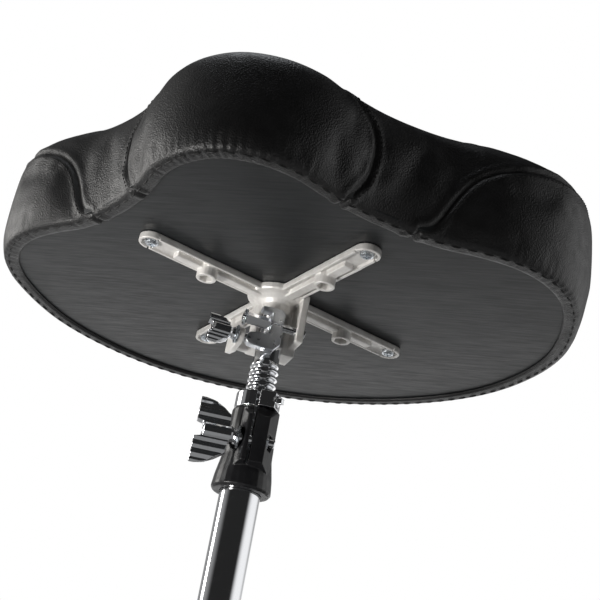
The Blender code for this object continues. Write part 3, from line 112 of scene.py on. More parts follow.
class Finish:
    """A Principled material with helpers for procedural detail in the piece's own frame."""

    def __init__(self, name, colour, roughness, metallic=0.0):
        self.mat = bpy.data.materials.new(name)
        self.mat.use_nodes = True
        self.nodes = self.mat.node_tree.nodes
        self.links = self.mat.node_tree.links
        self.shader = self.nodes["Principled BSDF"]
        self.shader.inputs["Base Color"].default_value = (*colour, 1.0)
        self.shader.inputs["Roughness"].default_value = roughness
        self.shader.inputs["Metallic"].default_value = metallic
        self.height = None

    def coordinates(self, stretch=(1, 1, 1), turn=(0, 0, 0)):
        where = self.nodes.new("ShaderNodeTexCoord")
        mapping = self.nodes.new("ShaderNodeMapping")
        mapping.inputs["Scale"].default_value = stretch
        mapping.inputs["Rotation"].default_value = [math.radians(a) for a in turn]
        self.links.new(where.outputs["Object"], mapping.inputs["Vector"])
        return mapping.outputs["Vector"]

    def noise(self, scale, detail=3.0, roughness=0.55, distortion=0.0, **where):
        node = self.nodes.new("ShaderNodeTexNoise")
        node.inputs["Scale"].default_value = scale
        node.inputs["Detail"].default_value = detail
        node.inputs["Roughness"].default_value = roughness
        node.inputs["Distortion"].default_value = distortion
        self.links.new(self.coordinates(**where), node.inputs["Vector"])
        return node.outputs["Fac"]

    def cells(self, scale, smooth=0.35, randomness=1.0, **where):
        node = self.nodes.new("ShaderNodeTexVoronoi")
        node.feature = "SMOOTH_F1"
        node.inputs["Scale"].default_value = scale
        node.inputs["Smoothness"].default_value = smooth
        node.inputs["Randomness"].default_value = randomness
        self.links.new(self.coordinates(**where), node.inputs["Vector"])
        return node.outputs["Distance"]

    def ramp(self, value, *stops):
        node = self.nodes.new("ShaderNodeValToRGB")
        elements = node.color_ramp.elements
        while len(elements) < len(stops):
            elements.new(0.5)
        for element, (place, colour) in zip(elements, stops):
            element.position = place
            element.color = (*colour, 1.0) if len(colour) == 3 else colour
        self.links.new(value, node.inputs["Fac"])
        return node.outputs["Color"]

    def grey_range(self, value, low, high):
        node = self.nodes.new("ShaderNodeMapRange")
        node.inputs["To Min"].default_value = low
        node.inputs["To Max"].default_value = high
        node.inputs["From Min"].default_value = 0.3
        node.inputs["From Max"].default_value = 0.7
        self.links.new(value, node.inputs["Value"])
        return node.outputs["Result"]

    def colour_from(self, value, *stops):
        self.links.new(self.ramp(value, *stops), self.shader.inputs["Base Color"])

    def roughness_from(self, value, low, high):
        self.links.new(self.grey_range(value, low, high), self.shader.inputs["Roughness"])

    def bump(self, value, distance, strength=1.0, invert=False):
        node = self.nodes.new("ShaderNodeBump")
        node.invert = invert
        node.inputs["Strength"].default_value = strength
        node.inputs["Distance"].default_value = distance
        self.links.new(value, node.inputs["Height"])
        if self.height is not None:
            self.links.new(self.height, node.inputs["Normal"])
        self.height = node.outputs["Normal"]
        self.links.new(self.height, self.shader.inputs["Normal"])


def leather():
    f = Finish("leather_finish", (0.009, 0.009, 0.0095), 0.4)
    f.colour_from(f.noise(14, 4), (0.3, (0.006, 0.006, 0.0065)), (0.7, (0.012, 0.0118, 0.0118)))
    f.roughness_from(f.noise(90, 3), 0.36, 0.5)
    f.shader.inputs["Specular IOR Level"].default_value = 0.5
    f.bump(f.noise(16, 2), 0.8 * MM, 0.3)
    f.bump(f.cells(820, 0.4), 0.32 * MM, 0.9)
    f.bump(f.noise(2100, 2), 0.06 * MM, 0.6)
    return f.mat


def thread_black():
    f = Finish("black_thread_finish", (0.008, 0.008, 0.008), 0.6)
    f.roughness_from(f.noise(900, 2), 0.5, 0.75)
    f.bump(f.noise(2500, 2), 0.1 * MM, 0.8)
    return f.mat


def board_laminate():
    f = Finish("board_finish", (0.03, 0.033, 0.036), 0.42)
    streak = f.noise(260, 3, 0.7, stretch=(0.05, 1.0, 1.0), turn=(0, 0, -14))
    f.colour_from(streak, (0.3, (0.0085, 0.0098, 0.0105)), (0.7, (0.0145, 0.016, 0.0175)))
    f.roughness_from(f.noise(500, 2, 0.6, stretch=(0.08, 1.0, 1.0), turn=(0, 0, -14)), 0.36, 0.52)
    f.shader.inputs["Specular IOR Level"].default_value = 0.4
    f.bump(streak, 0.2 * MM, 0.5)
    f.bump(f.noise(1400, 2), 0.05 * MM, 0.5)
    return f.mat


def cast_aluminium():
    f = Finish("cast_aluminium_finish", (0.74, 0.72, 0.69), 0.5, 0.35)
    f.colour_from(f.noise(120, 4), (0.3, (0.68, 0.66, 0.635)), (0.7, (0.82, 0.805, 0.78)))
    f.roughness_from(f.noise(300, 3), 0.38, 0.58)
    f.bump(f.noise(900, 3, 0.65), 0.12 * MM, 0.8)
    f.bump(f.noise(60, 2), 0.4 * MM, 0.3)
    return f.mat


def satin_steel():
    f = Finish("satin_steel_finish", (0.72, 0.74, 0.77), 0.32, 1.0)
    f.roughness_from(f.noise(180, 3), 0.24, 0.42)
    f.colour_from(f.noise(70, 3), (0.3, (0.62, 0.64, 0.68)), (0.7, (0.8, 0.82, 0.85)))
    f.bump(f.noise(500, 3), 0.08 * MM, 0.6)
    return f.mat


def chrome():
    f = Finish("chrome_finish", (0.83, 0.84, 0.86), 0.08, 1.0)
    f.roughness_from(f.noise(150, 3), 0.04, 0.13)
    f.bump(f.noise(90, 2), 0.12 * MM, 0.25)
    return f.mat


def zinc():
    f = Finish("zinc_finish", (0.6, 0.65, 0.7), 0.28, 1.0)
    f.colour_from(f.noise(260, 3), (0.3, (0.5, 0.55, 0.6)), (0.7, (0.72, 0.74, 0.76)))
    f.roughness_from(f.noise(420, 2), 0.2, 0.38)
    f.bump(f.noise(700, 2), 0.05 * MM, 0.5)
    return f.mat


def black_paint():
    f = Finish("black_paint_finish", (0.012, 0.012, 0.014), 0.34)
    f.colour_from(f.noise(40, 3), (0.3, (0.01, 0.01, 0.011)), (0.7, (0.018, 0.018, 0.02)))
    f.roughness_from(f.noise(160, 3), 0.28, 0.42)
    f.bump(f.noise(420, 3, 0.6), 0.14 * MM, 0.55)
    return f.mat


def black_nylon():
    f = Finish("black_nylon_finish", (0.02, 0.02, 0.02), 0.55)
    f.roughness_from(f.noise(300, 2), 0.48, 0.66)
    f.bump(f.noise(1100, 2), 0.06 * MM, 0.6)
    return f.mat


def rubber():
    f = Finish("rubber_finish", (0.014, 0.014, 0.014), 0.8)
    f.colour_from(f.noise(35, 3), (0.3, (0.011, 0.011, 0.011)), (0.7, (0.024, 0.023, 0.022)))
    f.roughness_from(f.noise(220, 2), 0.7, 0.9)
    f.bump(f.noise(800, 3), 0.12 * MM, 0.7)
    return f.mat


def foam():
    f = Finish("foam_finish", (0.75, 0.72, 0.6), 0.9)
    f.bump(f.cells(500, 0.2), 0.4 * MM, 0.8)
    return f.mat


FINISHES = {
    "leather": leather(), "foam": foam(), "board": board_laminate(),
    "cast_aluminium": cast_aluminium(), "satin_steel": satin_steel(), "chrome": chrome(),
    "zinc": zinc(), "black_paint": black_paint(), "black_nylon": black_nylon(),
    "rubber": rubber(),
}
BLACK_THREAD = thread_black()
SLOT_OF = {part["node"]: part["material_slot"] for part in frame["record"]["subparts"]}
BODY_OF = {node: body for body, nodes in frame["record"]["behaviour"]["bodies"].items()
           for node in nodes}


# ---------------------------------------------------------------- pieces

def add_piece(name, mesh, body, slot, mat=None, replaced=()):
    """A finished mesh as a piece: smooth, with its material (the slot's finish unless one is given),
    its body, and the replaced nodes hidden.
    """
    thing = bpy.data.objects.new(name, mesh)
    bpy.context.scene.collection.objects.link(thing)
    mesh.materials.clear()
    mesh.materials.append(mat or FINISHES[slot])
    mesh.shade_smooth()
    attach(thing, body)
    if replaced:
        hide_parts(*replaced)
    return thing


def mesh_from(points, faces, name):
    mesh = bpy.data.meshes.new(name)
    mesh.from_pydata([tuple(p) for p in points], [], faces)
    mesh.validate()
    return mesh


def evaluated_mesh(thing):
    """The object's mesh with its modifiers applied. The object is removed."""
    graph = bpy.context.evaluated_depsgraph_get()
    mesh = bpy.data.meshes.new_from_object(thing.evaluated_get(graph))
    bpy.data.objects.remove(thing, do_unlink=True)
    return mesh


def softened(mesh, voxel, rounds):
    """Remesh at the voxel size and smooth, which rounds every edge like a casting's."""
    thing = bpy.data.objects.new("softening", mesh)
    bpy.context.scene.collection.objects.link(thing)
    remesh = thing.modifiers.new("Remesh", "REMESH")
    remesh.mode = "VOXEL"
    remesh.voxel_size = voxel
    smooth = thing.modifiers.new("Smooth", "SMOOTH")
    smooth.factor = 0.5
    smooth.iterations = rounds
    return evaluated_mesh(thing)


def cast(node, name, voxel, rounds=4, extras=()):
    """A piece with a CAD node's shape, the extra shapes joined on, and soft edges."""
    shape = bmesh.new()
    shape.from_mesh(NODES[node].data)
    bmesh.ops.remove_doubles(shape, verts=shape.verts, dist=1e-6)
    for extra in extras:
        part = bpy.data.meshes.new("extra")
        extra.to_mesh(part)
        shape.from_mesh(part)
        extra.free()
    bmesh.ops.recalc_face_normals(shape, faces=shape.faces)
    mesh = bpy.data.meshes.new(name)
    shape.to_mesh(mesh)
    shape.free()
    mesh = softened(mesh, voxel, rounds)
    return add_piece(name, mesh, BODY_OF[node], SLOT_OF[node], replaced=[node])


def rounded_node(node, width=0.4 * MM):
    """Keep a CAD node as it is, with its finish and slightly broken edges."""
    thing = NODES[node]
    thing.data.materials.clear()
    thing.data.materials.append(FINISHES[SLOT_OF[node]])
    weld = thing.modifiers.new("Weld", "WELD")
    weld.merge_threshold = 0.01 * MM
    bevel = thing.modifiers.new("Edges", "BEVEL")
    bevel.width = width
    bevel.segments = 2
    bevel.limit_method = "ANGLE"
    bevel.angle_limit = math.radians(40)
    return thing


def turned_mesh(name, profile, sides, centre=(0, 0)):
    """A profile of (radius, height) points spun about a vertical axis."""
    points = []
    for radius, height in profile:
        for k in range(sides):
            angle = 2 * math.pi * k / sides
            points.append((centre[0] + radius * math.cos(angle),
                           centre[1] + radius * math.sin(angle), height))
    faces = []
    rows = len(profile)
    for row in range(rows - 1):
        for k in range(sides):
            a, b = row * sides + k, row * sides + (k + 1) % sides
            faces.append((a, b, b + sides, a + sides))
    return mesh_from(points, faces, name)


# ---------------------------------------------------------------- the cover's surface

def spline(points, count, closed=False):
    """Catmull-Rom through the points, resampled to count points an equal distance apart."""
    knots = np.array(points, float)
    n = len(knots)
    fine = []
    spans = n if closed else n - 1
    for i in range(spans):
        if closed:
            p0, p1, p2, p3 = (knots[(i + k) % n] for k in (-1, 0, 1, 2))
        else:
            p0, p1, p2, p3 = (knots[min(max(i + k, 0), n - 1)] for k in (-1, 0, 1, 2))
        for j in range(24):
            t = j / 24
            fine.append(0.5 * (2 * p1 + (p2 - p0) * t + (2 * p0 - 5 * p1 + 4 * p2 - p3) * t ** 2
                               + (3 * p1 - p0 - 3 * p2 + p3) * t ** 3))
    fine.append(knots[0] if closed else knots[-1])
    fine = np.array(fine)
    run = np.concatenate([[0], np.cumsum(np.linalg.norm(np.diff(fine, axis=0), axis=1))])
    where = np.linspace(0, run[-1], count + 1)[:-1] if closed else np.linspace(0, run[-1], count)
    return np.stack([np.interp(where, run, fine[:, k]) for k in range(fine.shape[1])], axis=1)


def board_outline():
    """The board's edge from the CAD node, starting at the nose, anticlockwise from above."""
    corners = [v.co for v in NODES["seat_board"].data.vertices]
    middle = Vector(((BOARD_LOW.x + BOARD_HIGH.x) / 2, (BOARD_LOW.y + BOARD_HIGH.y) / 2))
    low = {(round(c.x, 5), round(c.y, 5)) for c in corners if c.z < SEAT_Z + MM}
    screws = [(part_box(n)[0].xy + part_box(n)[1].xy) / 2
              for n in NODES if n.startswith("bracket_screw")]
    edge = [Vector(p) for p in low
            if all((Vector(p) - s).length > SCREW_KEEP_OUT for s in screws)]
    edge.sort(key=lambda p: (math.atan2(p.y - middle.y, p.x - middle.x) + math.pi / 2 + 1e-4)
              % (2 * math.pi))
    return spline(edge, ROUND_STEPS, closed=True), np.array(middle)


OUTLINE, MIDDLE = board_outline()
AHEAD = np.roll(OUTLINE, -1, 0) - np.roll(OUTLINE, 1, 0)
OUTWARD = np.stack([AHEAD[:, 1], -AHEAD[:, 0]], axis=1)
OUTWARD /= np.linalg.norm(OUTWARD, axis=1)[:, None]
AROUND = np.arange(ROUND_STEPS) / ROUND_STEPS
BACK_REACH = BOARD_HIGH.y - AXIS.y


def raised(height, y):
    """The cushion stands higher towards its rear."""
    return np.where(height > 0, height * (1 + REAR_RISE * (y - AXIS.y) / BACK_REACH), height)


def cover_grid():
    """Points of the cover as an array [column round the seat, row up the profile, xyz]."""
    rows = spline(PROFILE_POINTS, COVER_STEPS)
    grid = np.zeros((ROUND_STEPS, COVER_STEPS, 3))
    for j, (shift, share, height) in enumerate(rows):
        flat = MIDDLE + (OUTLINE + OUTWARD * shift - MIDDLE) * (share / SHARE_SCALE)
        grid[:, j, :2] = flat
        grid[:, j, 2] = SEAT_Z + raised(np.full(ROUND_STEPS, height), flat[:, 1])
    return grid, rows[:, 2]


# The share is scaled so that rows are spaced evenly over the top as well as up the side
SHARE_SCALE = 0.22
PROFILE_POINTS = [(shift * MM, share * SHARE_SCALE, height * MM) for shift, share, height in PROFILE]
SIDE_ROWS = int(np.argmax(spline(PROFILE_POINTS, COVER_STEPS)[:, 2] > SIDE_TOP))


def grid_normals(grid):
    du = np.roll(grid, -1, 0) - np.roll(grid, 1, 0)
    dv = np.gradient(grid, axis=1)
    normal = np.cross(du, dv)
    return normal / np.maximum(np.linalg.norm(normal, axis=2), 1e-12)[:, :, None]


def unrolled(grid):
    """Distance round the seat and up the profile of each grid point."""
    perimeter = np.linalg.norm(np.roll(OUTLINE, -1, 0) - OUTLINE, axis=1).sum()
    up = np.linalg.norm(np.diff(grid, axis=1), axis=2)
    up = np.concatenate([np.zeros((len(grid), 1)), np.cumsum(up, axis=1)], axis=1)
    return perimeter, up


def seam_line(points, heights, up, perimeter, side, count=160):
    """A seam as points of (distance round, distance up) on the unrolled cover."""
    path = spline([(s, h / 100) for s, h in points], count)
    rows = []
    for share, height in path:
        place = share if side > 0 else 1 - share
        column = int(round(place * ROUND_STEPS)) % ROUND_STEPS
        row = np.interp(height * 100 * MM, heights[:SIDE_ROWS], np.arange(SIDE_ROWS))
        rows.append((share * perimeter * side, np.interp(row, np.arange(COVER_STEPS), up[column])))
    return np.array(rows)


def distance_to(line, x, y):
    """Distance of each point (x, y) to a polyline, and on which side of it the point lies."""
    best = np.full(x.shape, 1e9)
    side = np.zeros(x.shape)
    for (ax, ay), (bx, by) in zip(line, line[1:]):
        dx, dy = bx - ax, by - ay
        length = max(dx * dx + dy * dy, 1e-12)
        t = np.clip(((x - ax) * dx + (y - ay) * dy) / length, 0, 1)
        d = np.hypot(x - ax - t * dx, y - ay - t * dy)
        nearer = d < best
        best = np.where(nearer, d, best)
        side = np.where(nearer, np.sign(dx * (y - ay) - dy * (x - ax)), side)
    return best, side


def puffed(grid, fixed):
    """How far air pressure swells the panels between the seams, from a cloth simulation.

    Only the outward share is kept, so the cover never sinks into its foam.
    """
    step = SIM_SHARE
    coarse = grid[::step, ::step]
    held = fixed[::step, ::step]
    columns, rows = coarse.shape[:2]
    faces = []
    for i in range(columns):
        j = (i + 1) % columns
        for k in range(rows - 1):
            faces.append((i * rows + k, j * rows + k, j * rows + k + 1, i * rows + k + 1))
    mesh = mesh_from(coarse.reshape(-1, 3), faces, "swelling")
    thing = bpy.data.objects.new("swelling", mesh)
    bpy.context.scene.collection.objects.link(thing)
    group = thing.vertex_groups.new(name="held")
    for index in np.flatnonzero(held.ravel()):
        group.add([int(index)], 1.0, "REPLACE")
    cloth = thing.modifiers.new("Cloth", "CLOTH")
    settings = cloth.settings
    settings.vertex_group_mass = "held"
    settings.use_pressure = True
    settings.uniform_pressure_force = 5.0
    settings.effector_weights.gravity = 0.0
    settings.tension_stiffness = 25.0
    settings.compression_stiffness = 25.0
    settings.bending_stiffness = 2.0
    settings.shrink_min = -0.02
    scene = bpy.context.scene
    for number in range(1, 21):
        scene.frame_set(number)
    swollen = evaluated_mesh(thing)
    moved = np.array([v.co for v in swollen.vertices]).reshape(coarse.shape) - coarse
    bpy.data.meshes.remove(swollen)
    scene.frame_set(1)
    normals = grid_normals(coarse)
    outwards = np.sum(moved * normals, axis=2, keepdims=True)
    return upsampled(normals * np.clip(outwards, 0.0, PUFF_LIMIT), grid.shape)


def upsampled(coarse, shape):
    """Linear interpolation of a coarse grid of vectors back to the fine grid."""
    columns, rows = shape[:2]
    ring = np.concatenate([coarse, coarse[:1]], axis=0)
    at = np.arange(columns) / SIM_SHARE
    low = np.floor(at).astype(int)
    share = (at - low)[:, None, None]
    wide = ring[low] * (1 - share) + ring[np.minimum(low + 1, len(ring) - 1)] * share
    at = np.minimum(np.arange(rows) / SIM_SHARE, coarse.shape[1] - 1)
    low = np.floor(at).astype(int)
    share = (at - low)[None, :, None]
    return wide[:, low] * (1 - share) + wide[:, np.minimum(low + 1, coarse.shape[1] - 1)] * share


def smoothed(values, rounds):
    """Average a grid of vectors with its neighbours, which takes out the coarse steps."""
    for _ in range(rounds):
        values = (np.roll(values, 1, 0) + np.roll(values, -1, 0) + 2 * values) / 4
        inner = (values[:, :-2] + values[:, 2:] + 2 * values[:, 1:-1]) / 4
        values = np.concatenate([values[:, :1], inner, values[:, -1:]], axis=1)
    return values


def stitches(name, path, length, gap, radius, body, mat, sink=0.0):
    """Short rounded dashes of thread along a path of (point, normal)."""
    points = np.array([p for p, _ in path])
    normals = np.array([n for _, n in path])
    run = np.concatenate([[0], np.cumsum(np.linalg.norm(np.diff(points, axis=0), axis=1))])
    shape = bmesh.new()
    start = gap
    while start + length < run[-1]:
        spine = []
        for k in range(7):
            at = start + length * k / 6
            place = np.array([np.interp(at, run, points[:, c]) for c in range(3)])
            normal = np.array([np.interp(at, run, normals[:, c]) for c in range(3)])
            arch = math.sin(math.pi * k / 6) * radius * 0.7 - radius * 0.5 - sink
            spine.append((Vector(place + normal * arch), Vector(normal)))
        add_thread(shape, spine, radius)
        start += length + gap
    mesh = bpy.data.meshes.new(name)
    shape.to_mesh(mesh)
    shape.free()
    return add_piece(name, mesh, body, "leather", mat)


def add_thread(shape, spine, radius, sides=8):
    """A tube with pointed ends along the spine."""
    rings = []
    count = len(spine)
    for k, (place, normal) in enumerate(spine):
        ahead = (spine[min(k + 1, count - 1)][0] - spine[max(k - 1, 0)][0]).normalized()
        across = ahead.cross(normal).normalized()
        upward = across.cross(ahead)
        size = radius * math.sqrt(max(0.05, 1 - (2 * k / (count - 1) - 1) ** 4))
        rings.append([shape.verts.new(place + (across * math.cos(a) + upward * math.sin(a)) * size)
                      for a in (2 * math.pi * s / sides for s in range(sides))])
    for low, high in zip(rings, rings[1:]):
        for s in range(sides):
            shape.faces.new((low[s], low[(s + 1) % sides], high[(s + 1) % sides], high[s]))
    shape.faces.new(list(reversed(rings[0])))
    shape.faces.new(rings[-1])


def at_point(grid, normals, up, perimeter, x, y):
    """Point and normal of the surface at (distance round, distance up)."""
    column = (x / perimeter) % 1.0 * ROUND_STEPS
    low = int(column) % ROUND_STEPS
    row = np.interp(y, up[low], np.arange(COVER_STEPS))
    base = int(min(row, COVER_STEPS - 2))
    a, b = column - int(column), row - base
    high = (low + 1) % ROUND_STEPS

    def mix(values):
        return ((values[low, base] * (1 - a) + values[high, base] * a) * (1 - b)
                + (values[low, base + 1] * (1 - a) + values[high, base + 1] * a) * b)

    normal = mix(normals)
    return mix(grid), normal / np.linalg.norm(normal)


def offset_line(line, distance):
    ahead = np.gradient(line, axis=0)
    side = np.stack([-ahead[:, 1], ahead[:, 0]], axis=1)
    return line + side / np.maximum(np.linalg.norm(side, axis=1), 1e-9)[:, None] * distance


def seat_cover():
    """Leatherette cover: swollen panels, seams with topstitching, and a gathered hem."""
    grid, heights = cover_grid()
    normals = grid_normals(grid)
    perimeter, up = unrolled(grid)
    x = np.where(AROUND > 0.5, AROUND - 1, AROUND)[:, None] * perimeter * np.ones((1, COVER_STEPS))
    seams = [seam_line(points, heights, up, perimeter, side)
             for points in (NOSE_SEAM, HIP_SEAM) for side in (1, -1)]
    reach = np.full(x.shape, 1e9)
    for line in seams:
        distance, _ = distance_to(line, x, up)
        reach = np.minimum(reach, distance)
    fixed = (reach < 3.0 * MM) | (up < 22 * MM)
    grid = grid + smoothed(puffed(grid, fixed), 6)
    groove = -SEAM_DEPTH * np.exp(-(reach / SEAM_WIDTH) ** 2)
    puff = SEAM_PUFF * np.exp(-((reach - SEAM_PUFF_AT) / (SEAM_PUFF_AT * 0.6)) ** 2)
    pleats = hem_pleats(x, up)
    grid = grid + normals * (groove + puff + pleats)[:, :, None]
    faces = []
    rows = COVER_STEPS
    for i in range(ROUND_STEPS):
        j = (i + 1) % ROUND_STEPS
        for k in range(rows - 1):
            faces.append((i * rows + k, j * rows + k, j * rows + k + 1, i * rows + k + 1))
    faces.append(tuple(i * rows + rows - 1 for i in range(ROUND_STEPS)))
    mesh = mesh_from(grid.reshape(-1, 3), faces, "seat_cover_leather")
    cover = add_piece("seat_cover_leather", mesh, "seat", "leather", replaced=["seat_cover"])
    normals = grid_normals(grid)
    for number, line in enumerate(seams):
        side = 1 if number % 2 else -1
        shifted = offset_line(line, side * TOPSTITCH_OFFSET)[2:-1]
        path = [at_point(grid, normals, up, perimeter, a, b) for a, b in shifted]
        stitches(f"topstitch_{number + 1}", path, STITCH_LENGTH, STITCH_GAP, STITCH_RADIUS,
                 "seat", BLACK_THREAD)
    hem = [at_point(grid, normals, up, perimeter, a, HEM_STITCH_AT)
           for a in np.linspace(-0.5, 0.5, ROUND_STEPS + 1) * perimeter]
    stitches("hem_stitches", hem, HEM_STITCH_LENGTH, HEM_STITCH_GAP, HEM_STITCH_RADIUS, "seat",
             BLACK_THREAD)
    return grid


def hem_pleats(x, up):
    """Small gathers where the hem turns a tight corner, fading out up the side."""
    bend = np.linalg.norm(np.roll(OUTWARD, -3, 0) - np.roll(OUTWARD, 3, 0), axis=1)
    bend = bend / np.linalg.norm(np.roll(OUTLINE, -3, 0) - np.roll(OUTLINE, 3, 0), axis=1)
    tight = np.clip((bend - 7.0) / 12.0, 0.04, 1)[:, None]
    fade = np.exp(-((up - 12 * MM) / (11 * MM)) ** 2)
    waves = np.sin(x / (7.0 * MM) * 2 * math.pi + 1.5 * np.sin(x / (31 * MM)))
    return 0.55 * MM * tight * fade * waves


# ---------------------------------------------------------------- metalwork

def bracket_extras():
    """Rims round the four tips, which the frame leaves plain."""
    shapes = []
    for node in NODES:
        if not node.startswith("bracket_screw"):
            continue
        low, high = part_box(node)
        centre = (low + high) / 2
        outward = math.atan2(centre.y - AXIS.y, centre.x - AXIS.x)
        arc = [outward + math.radians(a) for a in range(-95, 96, 10)]
        outer, inner = 10.5 * MM, 8.1 * MM
        shape = bmesh.new()
        top, bottom = SEAT_Z - 0.8 * MM, SEAT_Z - 6.1 * MM
        outline = [(centre.x + outer * math.cos(a), centre.y + outer * math.sin(a)) for a in arc]
        outline += [(centre.x + inner * math.cos(a), centre.y + inner * math.sin(a))
                    for a in reversed(arc)]
        face = shape.faces.new([shape.verts.new((px, py, bottom)) for px, py in outline])
        run = bmesh.ops.extrude_face_region(shape, geom=[face])
        far = [v for v in run["geom"] if isinstance(v, bmesh.types.BMVert)]
        bmesh.ops.translate(shape, verts=far, vec=(0, 0, top - bottom))
        shapes.append(shape)
    return shapes


THREAD_PITCH = 6 * MM
THREAD_DEPTH = 2.2 * MM
SLOT_TURN = math.radians(-72)
SLOT_HALF = 2.75 * MM
SLOT_FLOOR = 10.6 * MM
SHANK_RADIUS = 10.75 * MM
THREAD_RADIUS = 12 * MM
THREAD_TOP = SEAT_Z - 63.5 * MM


def thread_radius(turn, height):
    """Radius of the rounded thread at an angle and a height."""
    phase = (height / THREAD_PITCH - turn / (2 * math.pi)) % 1.0
    valley = 0.5 + 0.5 * np.cos(2 * math.pi * phase)
    return THREAD_RADIUS - THREAD_DEPTH * valley ** 2.2


def spindle():
    """Chrome spindle with its real helical thread and the slot down its front."""
    sides, step = 168, 0.33 * MM
    low, high = SPINDLE_LOW.z, SPINDLE_HIGH.z
    heights = np.arange(low, high, step)
    turns = np.arange(sides) * 2 * math.pi / sides
    turn, height = np.meshgrid(turns, heights)
    radius = thread_radius(turn, height)
    runout = np.clip((height - THREAD_TOP + 3 * MM) / (3 * MM), 0, 1)
    radius = radius * (1 - runout) + SHANK_RADIUS * runout
    radius = np.minimum(radius, THREAD_RADIUS - 1.8 * MM + (height - low))
    radius = np.minimum(radius, SHANK_RADIUS - 1.0 * MM + (high - height))
    away = (turn - SLOT_TURN + math.pi) % (2 * math.pi) - math.pi
    in_slot = (np.abs(np.sin(away) * SLOT_FLOOR) < SLOT_HALF) & (np.abs(away) < 1)
    in_slot &= height < THREAD_TOP + 14 * MM
    radius = np.where(in_slot, np.minimum(radius, SLOT_FLOOR / np.cos(np.clip(away, -1, 1))), radius)
    points = np.stack([AXIS.x + radius * np.cos(turn), AXIS.y + radius * np.sin(turn), height], 2)
    rows = len(heights)
    faces = []
    for r in range(rows - 1):
        for k in range(sides):
            a, b = r * sides + k, r * sides + (k + 1) % sides
            faces.append((a, b, b + sides, a + sides))
    faces.append(tuple(reversed(range(sides))))
    faces.append(tuple((rows - 1) * sides + k for k in range(sides)))
    mesh = mesh_from(points.reshape(-1, 3), faces, "spindle_thread")
    add_piece("spindle_thread", mesh, "spindle", "chrome", replaced=["height_spindle"])


def tube():
    """The stand's tube, round and polished, with turned ends."""
    outer, wall, edge = TUBE_RADIUS, 2 * MM, 0.5 * MM
    low, high = TUBE_LOW.z, TUBE_HIGH.z
    inner = outer - wall
    profile = [(inner, low + edge), (inner + edge, low), (outer - edge, low), (outer, low + edge),
               (outer, high - edge), (outer - edge, high), (inner + edge, high),
               (inner, high - edge), (inner, low + edge)]
    mesh = turned_mesh("stand_tube_chrome", profile, 128, AXIS)
    thing = add_piece("stand_tube_chrome", mesh, "stand", "chrome", replaced=["stand_tube"])
    thing.data.set_sharp_from_angle(angle=math.radians(35))


def metalwork():
    cast("seat_bracket", "seat_bracket_casting", 0.55 * MM, 4, bracket_extras())
    cast("seat_clamp_jaw", "seat_clamp_jaw_forging", 0.4 * MM, 4)
    cast("lock_collar", "lock_collar_polished", 0.35 * MM, 3)
    cast("lock_key_bolt", "lock_key_bolt_polished", 0.22 * MM, 3)
    cast("jaw_guide_pin", "jaw_guide_pin_polished", 0.25 * MM, 3)
    cast("jaw_pin_clip", "jaw_pin_clip_ring", 0.2 * MM, 2)
    cast("clamp_head", "clamp_head_casting", 0.5 * MM, 4)
    for name in ("seat_wing_bolt", "head_wing_bolt", "slider_wing_bolt"):
        cast(name, f"{name}_cast", 0.3 * MM, 3)
    cast("base_collar", "base_collar_casting", 0.5 * MM, 4)
    cast("sliding_collar", "sliding_collar_casting", 0.5 * MM, 4)
    for place in ("rear", "left", "right"):
        cast(f"{place}_foot", f"{place}_foot_boot", 0.7 * MM, 5)
    for name in NODES:
        if name.startswith("bracket_screw"):
            cast(name, f"{name}_head", 0.2 * MM, 2)
    spindle()
    tube()


def kept_nodes():
    """CAD nodes that stay as they are get their finish."""
    for name, thing in NODES.items():
        if not thing.hide_render:
            rounded_node(name)


# ---------------------------------------------------------------- stage, light and camera

FLOOR_RADIUS = 0.9
# Direction, where it starts to brighten, where it is brightest, and how bright
WORLD_LOBES = [
    ((0.0, 0.0, 1.0), -2.0, -1.5, 0.02),
    ((-0.1, 0.93, -0.36), 0.62, 0.97, 1.25),
    ((-1.0, 0.15, 0.05), 0.5, 0.97, 0.3),
    ((1.0, 0.45, 0.1), 0.65, 0.98, 1.0),
]

def stage():
    """A round pale floor. The board's far end mirrors the bright room beyond it."""
    shape = bmesh.new()
    bmesh.ops.create_circle(shape, cap_ends=True, segments=96, radius=FLOOR_RADIUS)
    mesh = bpy.data.meshes.new("floor")
    shape.to_mesh(mesh)
    shape.free()
    floor = bpy.data.objects.new("floor", mesh)
    bpy.context.scene.collection.objects.link(floor)
    f = Finish("floor_finish", (0.8, 0.8, 0.8), 0.7)
    f.roughness_from(f.noise(3, 2), 0.65, 0.8)
    mesh.materials.append(f.mat)


def world_lobe(nodes, links, direction, dark_at, bright_at, level):
    """Brightness that rises smoothly towards one direction of the room."""
    where = nodes.new("ShaderNodeTexCoord")
    dot = nodes.new("ShaderNodeVectorMath")
    dot.operation = "DOT_PRODUCT"
    dot.inputs[1].default_value = Vector(direction).normalized()
    links.new(where.outputs["Generated"], dot.inputs[0])
    rise = nodes.new("ShaderNodeMapRange")
    rise.interpolation_type = "SMOOTHSTEP"
    rise.inputs["From Min"].default_value = dark_at
    rise.inputs["From Max"].default_value = bright_at
    rise.inputs["To Max"].default_value = level
    links.new(dot.outputs["Value"], rise.inputs["Value"])
    return rise.outputs["Result"]


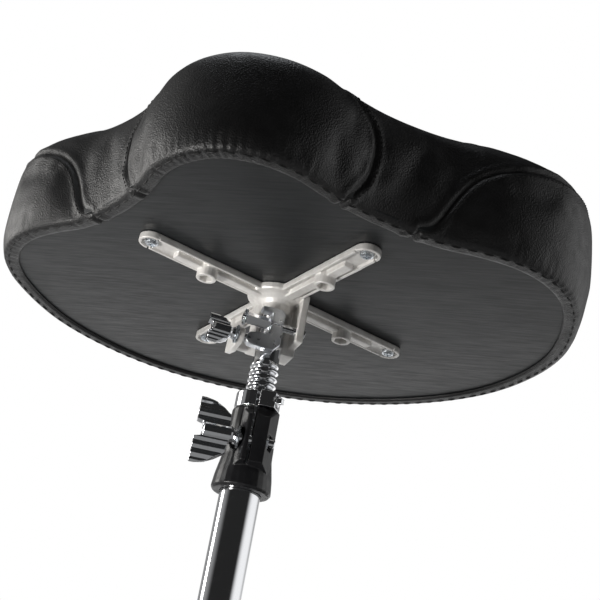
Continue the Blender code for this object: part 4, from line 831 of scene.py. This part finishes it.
def world():
    """White to the camera. As light: bright behind and to the left, dim in front."""
    made = bpy.data.worlds.new("studio")
    made.use_nodes = True
    bpy.context.scene.world = made
    nodes, links = made.node_tree.nodes, made.node_tree.links
    total = None
    for direction, dark_at, bright_at, level in WORLD_LOBES:
        lobe = world_lobe(nodes, links, direction, dark_at, bright_at, level)
        if total is None:
            total = lobe
            continue
        add = nodes.new("ShaderNodeMath")
        add.operation = "ADD"
        links.new(total, add.inputs[0])
        links.new(lobe, add.inputs[1])
        total = add.outputs["Value"]
    seen = nodes.new("ShaderNodeLightPath")
    mix = nodes.new("ShaderNodeMix")
    mix.inputs["B"].default_value = 1.0
    links.new(seen.outputs["Is Camera Ray"], mix.inputs["Factor"])
    links.new(total, mix.inputs["A"])
    links.new(mix.outputs["Result"], nodes["Background"].inputs["Strength"])
    nodes["Background"].inputs["Color"].default_value = (1, 1, 1, 1)


def area_light(name, place, target, size, power, colour=(1, 1, 1), spread=180):
    light = bpy.data.lights.new(name, "AREA")
    light.shape = "RECTANGLE"
    light.size, light.size_y = size
    light.energy = power
    light.color = colour
    light.spread = math.radians(spread)
    thing = bpy.data.objects.new(name, light)
    bpy.context.scene.collection.objects.link(thing)
    thing.location = place
    thing.rotation_euler = (Vector(target) - Vector(place)).to_track_quat("-Z", "Y").to_euler()


def lights():
    seat = (AXIS.x, AXIS.y, SEAT_Z)
    area_light("left", (-1.6, 0.05, 0.6), seat, (0.5, 1.0), 9, (1.0, 0.98, 0.95))
    area_light("below", (-0.42, -0.5, 0.05), seat, (0.2, 0.2), 0.5, (1.0, 0.985, 0.96), 50)
    area_light("top", (-0.3, -0.2, 1.9), seat, (0.8, 0.8), 5, (0.93, 0.96, 1.0))




# From the stand axis at the seat's underside, found by fitting the photo's viewpoint
CAMERA_OFFSET = Vector((0.2037, -0.7225, -0.3699))


def camera():
    """Looks up at the underside of the seat from in front, tilted about its own axis."""
    right = Vector((0.9726, 0.1659, 0.1631))
    forward = Vector((-0.2224, 0.8689, 0.4421)).normalized()
    right = (right - forward * right.dot(forward)).normalized()
    up = right.cross(forward)
    data = bpy.data.cameras.new("camera")
    data.sensor_width = 36.0
    data.lens = 59.45
    data.clip_start = 0.01
    thing = bpy.data.objects.new("camera", data)
    bpy.context.scene.collection.objects.link(thing)
    turn = Matrix((right, up, -forward)).transposed().to_4x4()
    place = Vector((AXIS.x, AXIS.y, SEAT_Z)) + CAMERA_OFFSET
    thing.matrix_world = Matrix.Translation(place) @ turn
    bpy.context.scene.camera = thing


bpy.context.scene.view_settings.view_transform = "Standard"
seat_cover()
metalwork()
kept_nodes()
stage()
world()
lights()
camera()
